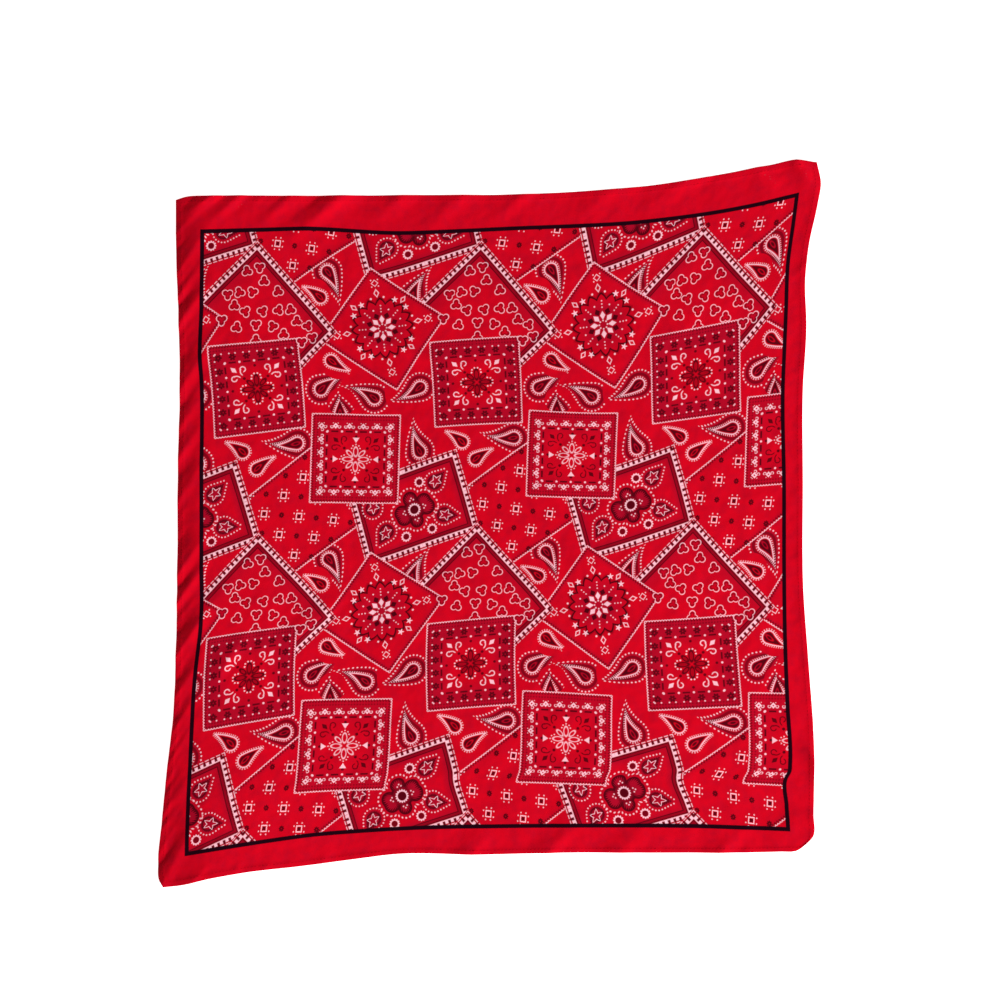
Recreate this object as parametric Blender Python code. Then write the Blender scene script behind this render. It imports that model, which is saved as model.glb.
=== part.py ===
"""A square cotton bandana, laid flat.

The cloth lies on the plane z = 0, with +Y towards its top edge and +Z out of its
printed face.  It is one printed panel inside four turned hems, and its lower
right corner is turned under.  Tables are in millimetres; what Blender gets is in
metres.  A wall is measured upright, so both its faces have the same plan.
"""

import math
from collections import namedtuple

import bmesh
import bpy
import numpy as np

MM = 0.001

COLLECTION_NAME = "bandana"

# Driving sizes of the cloth.
CLOTH_WIDTH = 523 * MM
CLOTH_LENGTH = 548 * MM
PANEL_WALL = 1.2 * MM
HEM_WALL = 2.0 * MM
HEM_WIDTH = 5.5 * MM
SEAM_GAP = 0.3 * MM

# The corner turned under: a small triangle of cloth below the lower right corner.
# The cloth lies level on it out to LEVEL_REACH, and is down again at DOWN_REACH.
FLAP_WALL = 1.2 * MM
FLAP_RISE = FLAP_WALL + SEAM_GAP
LEVEL_REACH = 20 * MM
DOWN_REACH = 36 * MM

# The edges of the cloth as it lies, in plan, each from left to right or from
# bottom to top.
EdgePoint = namedtuple("EdgePoint", "x y")

LOWER_LEFT = EdgePoint(-264.9, -295.3)
LOWER_RIGHT = EdgePoint(256.9, -260.7)
UPPER_LEFT = EdgePoint(-254.9, 262.9)
UPPER_RIGHT = EdgePoint(266.1, 293.6)

LEFT_EDGE = (
    LOWER_LEFT,
    EdgePoint(-268.2, -289.7),
    EdgePoint(-269.2, -275.0),
    EdgePoint(-266.4, -245.0),
    EdgePoint(-262.4, -204.3),
    EdgePoint(-256.8, -155.6),
    EdgePoint(-254.7, -102.8),
    EdgePoint(-253.5, -29.7),
    EdgePoint(-253.1, 43.5),
    EdgePoint(-251.5, 108.5),
    EdgePoint(-252.7, 173.5),
    EdgePoint(-254.7, 226.3),
    UPPER_LEFT,
)
RIGHT_EDGE = (
    LOWER_RIGHT,
    EdgePoint(262.8, -254.3),
    EdgePoint(263.3, -236.8),
    EdgePoint(263.7, -180.0),
    EdgePoint(258.8, -106.8),
    EdgePoint(255.1, -54.0),
    EdgePoint(254.7, 35.3),
    EdgePoint(254.7, 108.5),
    EdgePoint(257.6, 161.3),
    EdgePoint(256.6, 197.8),
    EdgePoint(259.6, 226.3),
    EdgePoint(266.9, 260.4),
    EdgePoint(269.3, 276.7),
    UPPER_RIGHT,
)
BOTTOM_EDGE = (
    LOWER_LEFT,
    EdgePoint(-251.5, -293.7),
    EdgePoint(-228.7, -288.4),
    EdgePoint(-197.8, -283.0),
    EdgePoint(-154.0, -278.3),
    EdgePoint(-113.3, -273.2),
    EdgePoint(-76.8, -268.7),
    EdgePoint(-7.7, -269.0),
    EdgePoint(57.3, -267.5),
    EdgePoint(154.8, -267.5),
    EdgePoint(236.0, -266.5),
    EdgePoint(249.8, -265.7),
    LOWER_RIGHT,
)
TOP_EDGE = (
    UPPER_LEFT,
    EdgePoint(-246.6, 265.2),
    EdgePoint(-227.1, 265.8),
    EdgePoint(-154.0, 266.1),
    EdgePoint(-56.5, 266.9),
    EdgePoint(24.8, 267.5),
    EdgePoint(89.8, 271.0),
    EdgePoint(138.5, 275.6),
    EdgePoint(187.3, 283.6),
    EdgePoint(227.9, 291.3),
    EdgePoint(249.8, 295.3),
    UPPER_RIGHT,
)

# Three points of the turned corner's triangle: along its fold, and its tip.
FLAP_OUTLINE = (
    EdgePoint(260.6, -254.9),
    EdgePoint(250.9, -254.6),
    EdgePoint(250.6, -263.6),
)

# The largest folds: soft ridges of lifted cloth.  Each starts at (x, y) and runs
# along its heading, in degrees from +X.  It rises over the first share `rise` of
# its length, at once where it runs off an edge, and dies away over the rest.
Fold = namedtuple("Fold", "x y heading length half_width height rise")

FOLDS = (
    # Ripples that run in from the left edge, top to bottom.
    Fold(-256, 204, 56, 70, 11, 2.2, 0.0),
    Fold(-256, 183, 55, 48, 9, 2.2, 0.0),
    Fold(-255, 162, 54, 60, 10, 3.0, 0.0),
    Fold(-255, 108, 57, 66, 12, 2.6, 0.0),
    Fold(-255, 77, 56, 46, 10, 1.8, 0.0),
    Fold(-256, 53, 55, 50, 10, 2.0, 0.0),
    Fold(-256, 18, 57, 56, 11, 1.8, 0.0),
    Fold(-257, -42, 55, 58, 11, 2.8, 0.0),
    Fold(-258, -66, 54, 64, 10, 3.2, 0.0),
    Fold(-258, -107, 55, 80, 12, 3.4, 0.0),
    Fold(-259, -142, 56, 56, 10, 2.8, 0.0),
    Fold(-261, -170, 58, 60, 11, 3.0, 0.0),
    Fold(-264, -196, 58, 62, 10, 3.2, 0.0),
    Fold(-266, -220, 60, 54, 10, 2.2, 0.0),
    Fold(-269, -247, 61, 66, 11, 2.8, 0.0),
    Fold(-268, -290, 62, 92, 13, 3.4, 0.0),
    # Ripples that run down from the top edge, left to right.
    Fold(-226, 268, 215, 40, 10, 2.6, 0.0),
    Fold(-203, 268, 220, 46, 10, 2.2, 0.0),
    Fold(-162, 268, 222, 56, 12, 2.6, 0.0),
    Fold(-122, 269, 220, 66, 15, 3.6, 0.0),
    Fold(-72, 269, 222, 44, 13, 2.2, 0.0),
    Fold(-23, 269, 222, 50, 13, 2.2, 0.0),
    Fold(26, 270, 221, 46, 14, 2.4, 0.0),
    Fold(96, 273, 218, 40, 16, 1.8, 0.0),
    Fold(155, 280, 214, 44, 16, 1.8, 0.0),
    # The upper right corner curls up along two creases.
    Fold(214, 291, 322, 48, 13, 3.4, 0.0),
    Fold(246, 297, 305, 46, 13, 5.0, 0.0),
    # Long low creases that run up from the bottom edge.
    Fold(-22, -271, 50, 50, 14, 1.8, 0.0),
    Fold(40, -270, 47, 58, 15, 2.4, 0.0),
    Fold(98, -270, 44, 46, 16, 1.8, 0.0),
    Fold(178, -270, 43, 56, 16, 2.2, 0.0),
    # A small pleat at the right edge, and creases inside the printed field.
    Fold(266, -200, 118, 42, 12, 2.6, 0.0),
    Fold(-232, -136, 56, 78, 11, 2.4, 0.4),
    Fold(-175, -104, 42, 92, 13, 2.4, 0.4),
    Fold(-150, 168, 342, 160, 14, 2.2, 0.4),
)

# Spacing of the grid lines across the panel, finer where the ripples are.  The
# distances are from its left or bottom edge, and the last span runs to the end.
Span = namedtuple("Span", "end step")

COLUMN_SPANS = (Span(45, 6.4), Span(110, 9.3), Span(296, 14.3), Span(496, 25.0), Span(512, 8.0))
ROW_SPANS = (Span(16, 8.0), Span(480, 7.14), Span(537, 6.3))


def clear_scene():
    """Remove every object, so that only the bandana is left."""
    for scene_object in list(bpy.data.objects):
        bpy.data.objects.remove(scene_object)


def edge_curve(edge, fractions):
    """Points in metres of a smooth curve through an edge, at fractions of its length."""
    knots = np.array([(point.x, point.y) for point in edge]) * MM
    steps = np.diff(knots, axis=0)
    chords = np.linalg.norm(steps, axis=1)[:, None]
    reach = np.concatenate(([0.0], np.cumsum(chords)))
    slopes = steps / chords
    blended = (slopes[:-1] * chords[1:] + slopes[1:] * chords[:-1]) / (chords[:-1] + chords[1:])
    tangents = np.concatenate((slopes[:1], blended, slopes[-1:]))

    wanted = np.asarray(fractions) * reach[-1]
    piece = np.clip(np.searchsorted(reach, wanted, side="right") - 1, 0, len(chords) - 1)
    chord = chords[piece]
    u = (wanted - reach[piece])[:, None] / chord
    ease = 3 * u**2 - 2 * u**3
    start_pull = (u**3 - 2 * u**2 + u) * chord
    end_pull = (u**3 - u**2) * chord
    return (knots[piece] * (1 - ease) + knots[piece + 1] * ease
            + start_pull * tangents[piece] + end_pull * tangents[piece + 1])


def plan_points(columns, rows):
    """Plan of the cloth at a grid of fractions, blended from its four edges.

    Returns x and y in metres, each as an array indexed by row and column.
    """
    s = np.asarray(columns)[None, :, None]
    t = np.asarray(rows)[:, None, None]
    across = (1 - t) * edge_curve(BOTTOM_EDGE, columns)[None] + t * edge_curve(TOP_EDGE, columns)[None]
    along = (1 - s) * edge_curve(LEFT_EDGE, rows)[:, None] + s * edge_curve(RIGHT_EDGE, rows)[:, None]
    lower = (1 - s) * np.array(LOWER_LEFT) + s * np.array(LOWER_RIGHT)
    upper = (1 - s) * np.array(UPPER_LEFT) + s * np.array(UPPER_RIGHT)
    plan = across + along - ((1 - t) * lower + t * upper) * MM
    return plan[:, :, 0], plan[:, :, 1]


def fold_lift(fold, x, y):
    """Height in metres that one fold lifts the cloth at points in its plan."""
    heading = math.radians(fold.heading)
    from_x = x / MM - fold.x
    from_y = y / MM - fold.y
    along = (from_x * math.cos(heading) + from_y * math.sin(heading)) / fold.length
    aside = (from_y * math.cos(heading) - from_x * math.sin(heading)) / fold.half_width
    profile = np.cos(np.clip(aside, -1, 1) * math.pi / 2) ** 2
    fade = np.cos(np.clip((along - fold.rise) / (1 - fold.rise), 0, 1) * math.pi / 2) ** 2
    if fold.rise > 0:
        fade = fade * np.sin(np.clip(along / fold.rise, 0, 1) * math.pi / 2) ** 2
    return fold.height * MM * profile * fade


def corner_lift(x, y):
    """Height that the cloth rises over the corner that is turned under it."""
    distance = np.hypot(x - LOWER_RIGHT.x * MM, y - LOWER_RIGHT.y * MM)
    share = np.clip((DOWN_REACH - distance) / (DOWN_REACH - LEVEL_REACH), 0, 1)
    return FLAP_RISE * share**2 * (3 - 2 * share)


def cloth_lift(x, y):
    """Height of the cloth's underside above the surface that it lies on."""
    return corner_lift(x, y) + sum(fold_lift(fold, x, y) for fold in FOLDS)


def span_fractions(spans, length):
    """Fractions of a length for grid lines spaced as the spans say, ends included."""
    distances = [0.0]
    for span in spans:
        start = distances[-1]
        cells = round((span.end - start) / span.step)
        distances.extend(start + (span.end - start) * (cell + 1) / cells for cell in range(cells))
    inner = (length - 2 * (HEM_WIDTH + SEAM_GAP)) / length
    return [(HEM_WIDTH + SEAM_GAP) / length + inner * distance / distances[-1] for distance in distances]


def cloth_material(name, color, roughness):
    """A plain woven cotton finish."""
    material = bpy.data.materials.new(name)
    material.use_nodes = True
    shader = material.node_tree.nodes["Principled BSDF"]
    shader.inputs["Base Color"].default_value = color
    shader.inputs["Roughness"].default_value = roughness
    shader.inputs["Metallic"].default_value = 0.0
    return material


def raise_wall(sheet, wall):
    """Turn an open sheet into a closed wall by raising a copy of its faces."""
    bmesh.ops.triangulate(sheet, faces=sheet.faces[:], quad_method="FIXED")
    raised = bmesh.ops.extrude_face_region(sheet, geom=sheet.faces[:], use_keep_orig=True)
    upper = [item for item in raised["geom"] if isinstance(item, bmesh.types.BMVert)]
    bmesh.ops.translate(sheet, verts=upper, vec=(0, 0, wall))
    bmesh.ops.recalc_face_normals(sheet, faces=sheet.faces[:])


def add_wall(name, sheet, wall, material, collection):
    """Close a sheet into a wall and add it as a named object."""
    raise_wall(sheet, wall)
    mesh = bpy.data.meshes.new(name)
    sheet.to_mesh(mesh)
    sheet.free()
    mesh.materials.append(material)
    mesh.shade_smooth()
    mesh.set_sharp_from_angle(angle=math.radians(50))
    wall_object = bpy.data.objects.new(name, mesh)
    collection.objects.link(wall_object)
    return wall_object


def cloth_sheet(columns, rows):
    """A grid of the cloth between the given fractions, laid on its folds."""
    x, y = plan_points(columns, rows)
    z = cloth_lift(x, y)
    sheet = bmesh.new()
    cells_across = len(columns) - 1
    cells_up = len(rows) - 1
    bmesh.ops.create_grid(sheet, x_segments=cells_across, y_segments=cells_up, size=0.5)
    for vertex in sheet.verts:
        column = round((vertex.co.x + 0.5) * cells_across)
        row = round((vertex.co.y + 0.5) * cells_up)
        vertex.co = (x[row, column], y[row, column], z[row, column])
    return sheet


def flap_sheet():
    """The triangle of cloth turned under the lower right corner."""
    sheet = bmesh.new()
    bmesh.ops.create_circle(sheet, segments=len(FLAP_OUTLINE), radius=1, cap_ends=True)
    for vertex, point in zip(sheet.verts, FLAP_OUTLINE):
        vertex.co = (point.x * MM, point.y * MM, 0)
    return sheet


def build():
    """Build the panel, its hems and the turned corner."""
    clear_scene()
    collection = bpy.data.collections.new(COLLECTION_NAME)
    bpy.context.scene.collection.children.link(collection)
    printed = cloth_material("printed_cotton", (0.62, 0.008, 0.02, 1), 0.82)
    hemmed = cloth_material("hemmed_cotton", (0.55, 0.003, 0.012, 1), 0.85)
    reverse = cloth_material("reverse_cotton", (0.5, 0.01, 0.02, 1), 0.85)

    columns = span_fractions(COLUMN_SPANS, CLOTH_WIDTH)
    rows = span_fractions(ROW_SPANS, CLOTH_LENGTH)
    hem_across = HEM_WIDTH / CLOTH_WIDTH
    hem_up = HEM_WIDTH / CLOTH_LENGTH
    full_columns = [0.0, hem_across] + columns + [1 - hem_across, 1.0]

    add_wall("panel", cloth_sheet(columns, rows), PANEL_WALL, printed, collection)
    add_wall("hem_bottom", cloth_sheet(full_columns, [0.0, hem_up]), HEM_WALL, hemmed, collection)
    add_wall("hem_top", cloth_sheet(full_columns, [1 - hem_up, 1.0]), HEM_WALL, hemmed, collection)
    add_wall("hem_left", cloth_sheet([0.0, hem_across], rows), HEM_WALL, hemmed, collection)
    add_wall("hem_right", cloth_sheet([1 - hem_across, 1.0], rows), HEM_WALL, hemmed, collection)
    add_wall("corner_turned_under", flap_sheet(), FLAP_WALL, reverse, collection)


build()
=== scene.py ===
"""A square red cotton bandana, laid flat on a light table, printed face up.

The cloth lies on the plane z = 0 with +Y towards its top edge.  Tables and sizes
are in millimetres, and a class turns them to metres where it builds its mesh.
"""
import logging
import math
from dataclasses import dataclass
from enum import Enum
from functools import reduce
from typing import NamedTuple, Sequence

import bpy
import numpy as np
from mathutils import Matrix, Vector


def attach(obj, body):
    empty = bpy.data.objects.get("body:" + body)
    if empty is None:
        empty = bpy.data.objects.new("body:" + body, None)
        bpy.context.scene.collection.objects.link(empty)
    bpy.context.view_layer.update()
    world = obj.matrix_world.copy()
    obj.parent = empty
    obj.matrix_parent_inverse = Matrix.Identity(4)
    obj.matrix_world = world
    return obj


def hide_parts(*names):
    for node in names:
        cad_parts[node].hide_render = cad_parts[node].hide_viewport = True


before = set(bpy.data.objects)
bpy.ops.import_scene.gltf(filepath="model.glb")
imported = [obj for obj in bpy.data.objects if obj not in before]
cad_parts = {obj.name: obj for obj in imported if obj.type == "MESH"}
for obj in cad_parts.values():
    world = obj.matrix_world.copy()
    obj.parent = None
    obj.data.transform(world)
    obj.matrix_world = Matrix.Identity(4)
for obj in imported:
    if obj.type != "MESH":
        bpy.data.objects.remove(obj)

LOG = logging.getLogger("bandana")
MM = 0.001
BODY = "root"
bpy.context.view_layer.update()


def linear(hex_colour: str) -> tuple[float, float, float, float]:
    """Turn an sRGB hex value into a linear colour.

    Args:
        hex_colour: Six hex digits after a hash mark.

    Returns:
        Red, green, blue and an alpha of 1.
    """
    channels = [int(hex_colour[place:place + 2], 16) / 255 for place in (1, 3, 5)]
    curve = [c / 12.92 if c <= 0.04045 else ((c + 0.055) / 1.055) ** 2.4 for c in channels]
    return (*curve, 1.0)


def ease(share: np.ndarray) -> np.ndarray:
    """Smooth step from 0 to 1 of a share that may lie outside them."""
    share = np.clip(share, 0, 1)
    return share * share * (3 - 2 * share)


# --------------------------------------------------------------------------
# Where the cloth lies
# --------------------------------------------------------------------------
class Point(NamedTuple):
    """A place in plan, in millimetres."""

    x: float
    y: float


@dataclass(frozen=True)
class SoftLine:
    """A smooth curve in plan through a few points."""

    points: tuple[Point, ...]

    def at(self, fractions: Sequence[float] | np.ndarray) -> np.ndarray:
        """Read the curve at fractions of its length, straight on past its ends.

        Args:
            fractions: Shares of the length from its first point.

        Returns:
            An array of x and y in millimetres, one row for each fraction.
        """
        knots = np.array(self.points, float)
        steps = np.diff(knots, axis=0)
        chords = np.linalg.norm(steps, axis=1)[:, None]
        reach = np.concatenate(([0.0], np.cumsum(chords)))
        slopes = steps / chords
        blended = (slopes[:-1] * chords[1:] + slopes[1:] * chords[:-1]) / (chords[:-1] + chords[1:])
        tangents = np.concatenate((slopes[:1], blended, slopes[-1:]))

        wanted = np.asarray(fractions, float) * reach[-1]
        inside = np.clip(wanted, 0, reach[-1])
        piece = np.clip(np.searchsorted(reach, inside, side="right") - 1, 0, len(chords) - 1)
        chord = chords[piece]
        u = (inside - reach[piece])[..., None] / chord
        rise = 3 * u**2 - 2 * u**3
        start_pull = (u**3 - 2 * u**2 + u) * chord
        end_pull = (u**3 - u**2) * chord
        curve = (knots[piece] * (1 - rise) + knots[piece + 1] * rise
                 + start_pull * tangents[piece] + end_pull * tangents[piece + 1])
        beyond = (wanted - inside)[..., None]
        return curve + beyond * np.where(beyond < 0, tangents[0], tangents[-1])


@dataclass(frozen=True)
class FourSides:
    """A plan blended from four curved sides, each from left to right or bottom to top."""

    left: SoftLine
    right: SoftLine
    bottom: SoftLine
    top: SoftLine

    def place(self, s: np.ndarray, t: np.ndarray) -> np.ndarray:
        """Blend the sides at fractions of the width and height.

        Args:
            s: Fractions from the left side, in any array shape.
            t: Fractions from the bottom side, in the same shape.

        Returns:
            x and y in millimetres along a last axis.
        """
        u, v = s[..., None], t[..., None]
        lower_left, lower_right = (np.array(self.bottom.points[end]) for end in (0, -1))
        upper_left, upper_right = (np.array(self.top.points[end]) for end in (0, -1))
        across = (1 - v) * self.bottom.at(s) + v * self.top.at(s)
        upward = (1 - u) * self.left.at(t) + u * self.right.at(t)
        corners = ((1 - v) * ((1 - u) * lower_left + u * lower_right)
                   + v * ((1 - u) * upper_left + u * upper_right))
        return across + upward - corners


LOWER_LEFT = Point(-264.9, -295.3)
LOWER_RIGHT = Point(256.9, -260.7)
UPPER_LEFT = Point(-254.9, 262.9)
UPPER_RIGHT = Point(266.1, 293.6)

# The four edges of the cloth as it lies.
CLOTH_EDGES = FourSides(
    left=SoftLine((
        LOWER_LEFT, Point(-268.2, -289.7), Point(-269.2, -275.0), Point(-266.4, -245.0),
        Point(-262.4, -204.3), Point(-256.8, -155.6), Point(-254.7, -102.8), Point(-253.5, -29.7),
        Point(-253.1, 43.5), Point(-251.5, 108.5), Point(-252.7, 173.5), Point(-254.7, 226.3),
        UPPER_LEFT,
    )),
    right=SoftLine((
        LOWER_RIGHT, Point(262.8, -254.3), Point(263.3, -236.8), Point(263.7, -180.0),
        Point(258.8, -106.8), Point(255.1, -54.0), Point(254.7, 35.3), Point(254.7, 108.5),
        Point(257.6, 161.3), Point(256.6, 197.8), Point(259.6, 226.3), Point(266.9, 260.4),
        Point(269.3, 276.7), UPPER_RIGHT,
    )),
    bottom=SoftLine((
        LOWER_LEFT, Point(-251.5, -293.7), Point(-228.7, -288.4), Point(-197.8, -283.0),
        Point(-154.0, -278.3), Point(-113.3, -273.2), Point(-76.8, -268.7), Point(-7.7, -269.0),
        Point(57.3, -267.5), Point(154.8, -267.5), Point(236.0, -266.5), Point(249.8, -265.7),
        LOWER_RIGHT,
    )),
    top=SoftLine((
        UPPER_LEFT, Point(-246.6, 265.2), Point(-227.1, 265.8), Point(-154.0, 266.1),
        Point(-56.5, 266.9), Point(24.8, 267.5), Point(89.8, 271.0), Point(138.5, 275.6),
        Point(187.3, 283.6), Point(227.9, 291.3), Point(249.8, 295.3), UPPER_RIGHT,
    )),
)

# The black line round the print, which wavers with the cloth.
PRINT_LOWER_LEFT = Point(-245.4, -267.7)
PRINT_LOWER_RIGHT = Point(242.5, -248.2)
PRINT_UPPER_LEFT = Point(-232.8, 236.8)
PRINT_UPPER_RIGHT = Point(249.8, 266.9)
PRINT_EDGES = FourSides(
    left=SoftLine((
        PRINT_LOWER_LEFT, Point(-245.0, -249.0), Point(-244.2, -224.7), Point(-242.9, -198.7),
        Point(-241.7, -172.7), Point(-238.5, -120.7), Point(-236.4, -102.8), Point(-234.4, -86.5),
        Point(-233.6, -29.7), Point(-233.6, 38.6), Point(-233.6, 116.6), Point(-234.8, 135.3),
        Point(-233.6, 174.3), Point(-233.2, 206.0), PRINT_UPPER_LEFT,
    )),
    right=SoftLine((
        PRINT_LOWER_RIGHT, Point(241.3, -228.7), Point(240.5, -207.6), Point(243.8, -201.1),
        Point(244.2, -195.4), Point(242.1, -147.5), Point(240.1, -94.7), Point(239.3, -29.7),
        Point(239.3, 25.6), Point(238.5, 116.6), Point(239.3, 135.3), Point(240.9, 173.5),
        Point(242.5, 212.5), Point(246.6, 242.5), PRINT_UPPER_RIGHT,
    )),
    bottom=SoftLine((
        PRINT_LOWER_LEFT, Point(-210.8, -262.0), Point(-178.3, -257.2), Point(-146.7, -253.1),
        Point(-105.2, -249.8), Point(-63.0, -247.4), Point(15.0, -245.8), Point(89.8, -245.4),
        Point(167.8, -245.8), Point(207.6, -247.0), PRINT_LOWER_RIGHT,
    )),
    top=SoftLine((
        PRINT_UPPER_LEFT, Point(-190.5, 238.1), Point(-149.1, 239.3), Point(-72.7, 236.0),
        Point(-24.0, 237.7), Point(27.2, 240.1), Point(69.5, 241.7), Point(114.2, 244.2),
        Point(148.3, 247.8), Point(180.8, 252.3), Point(215.7, 258.8), PRINT_UPPER_RIGHT,
    )),
)


PULL_WAY = math.radians(38)  # below +X, the way that the cloth was drawn together
LEAN = 0.25  # of its half width, how far a crease square to that way leans over
PEAK = 0.7  # share of a crease's section that comes to a soft peak, over a round wave


class Crease(NamedTuple):
    """A soft ridge, or a trough where its height is negative.

    It starts at (x, y) and runs along its heading, in degrees from +X, bending by
    `bend` millimetres at its middle.  It rises over the first share `rise` of its
    length, at once where it runs off an edge, and dies away over the rest.  The cloth
    was drawn together towards the lower right, so each leans over that way.
    """

    x: float
    y: float
    heading: float
    length: float
    half_width: float
    height: float
    rise: float = 0.0
    bend: float = 0.0

    def lift(self, x: np.ndarray, y: np.ndarray) -> np.ndarray:
        """Find how high the crease lifts the cloth.

        Args:
            x: Of the places, in millimetres.
            y: Of the places, in the same shape.

        Returns:
            The heights in millimetres.
        """
        heading = math.radians(self.heading)
        from_x, from_y = x - self.x, y - self.y
        along = (from_x * math.cos(heading) + from_y * math.sin(heading)) / self.length
        bow = self.bend * np.sin(np.clip(along, 0, 1) * math.pi)
        aside = (from_y * math.cos(heading) - from_x * math.sin(heading) - bow) / self.half_width
        lean = -LEAN * math.sin(heading + PULL_WAY)
        share = np.clip(np.abs(aside - lean) / np.where(aside > lean, 1 - lean, 1 + lean), 0, 1)
        section = PEAK * (1 - share) ** 2 + (1 - PEAK) * np.cos(share * math.pi / 2) ** 2
        fade = np.cos(np.clip((along - self.rise) / (1 - self.rise), 0, 1) * math.pi / 2) ** 2
        if self.rise > 0:
            fade = fade * np.sin(np.clip(along / self.rise, 0, 1) * math.pi / 2) ** 2
        return self.height * section * fade


# The largest folds, which the solid has too: start, heading, length, half width, height,
# and for some the share over which they rise.
MAIN_CREASES = tuple(Crease(*row) for row in (
    # Ripples that run in from the left edge, top to bottom.
    (-256, 204, 56, 70, 11, 2.2),
    (-256, 183, 55, 48, 9, 2.2),
    (-255, 162, 54, 60, 10, 3.0),
    (-255, 108, 57, 66, 12, 2.6),
    (-255, 77, 56, 46, 10, 1.8),
    (-256, 53, 55, 50, 10, 2.0),
    (-256, 18, 57, 56, 11, 1.8),
    (-257, -42, 55, 58, 11, 2.8),
    (-258, -66, 54, 64, 10, 2.8),
    (-258, -107, 55, 80, 12, 2.8),
    (-259, -142, 56, 56, 10, 2.0),
    (-261, -170, 58, 60, 11, 2.0),
    (-264, -196, 58, 62, 10, 1.9),
    (-266, -220, 60, 54, 10, 1.4),
    (-269, -247, 61, 66, 11, 1.6),
    (-268, -290, 62, 92, 13, 1.6),
    # Ripples that run down from the top edge, left to right.
    (-226, 268, 215, 40, 10, 2.6),
    (-203, 268, 220, 46, 10, 2.2),
    (-162, 268, 222, 56, 12, 1.6),
    (-122, 269, 220, 66, 16, 4.2),
    (-72, 269, 222, 44, 13, 2.2),
    (-23, 269, 222, 50, 13, 2.2),
    (26, 270, 221, 46, 14, 2.4),
    (96, 273, 218, 40, 16, 1.8),
    (155, 280, 214, 44, 16, 1.8),
    # The upper right corner curls up along two creases.
    (214, 291, 322, 48, 13, 3.4),
    (246, 297, 305, 46, 13, 5.0),
    # Long low creases that run up from the bottom edge.
    (-22, -271, 50, 50, 14, 1.8),
    (40, -270, 47, 58, 15, 2.4),
    (98, -270, 44, 46, 16, 1.8),
    (178, -270, 43, 56, 16, 2.2),
    # A small pleat at the right edge, and creases inside the printed field.
    (266, -200, 118, 42, 12, 2.6),
    (-232, -136, 56, 78, 11, 1.5, 0.4),
    (-175, -104, 42, 92, 13, 1.6, 0.4),
    (-150, 168, 342, 160, 14, 2.2, 0.4),
))

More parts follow.
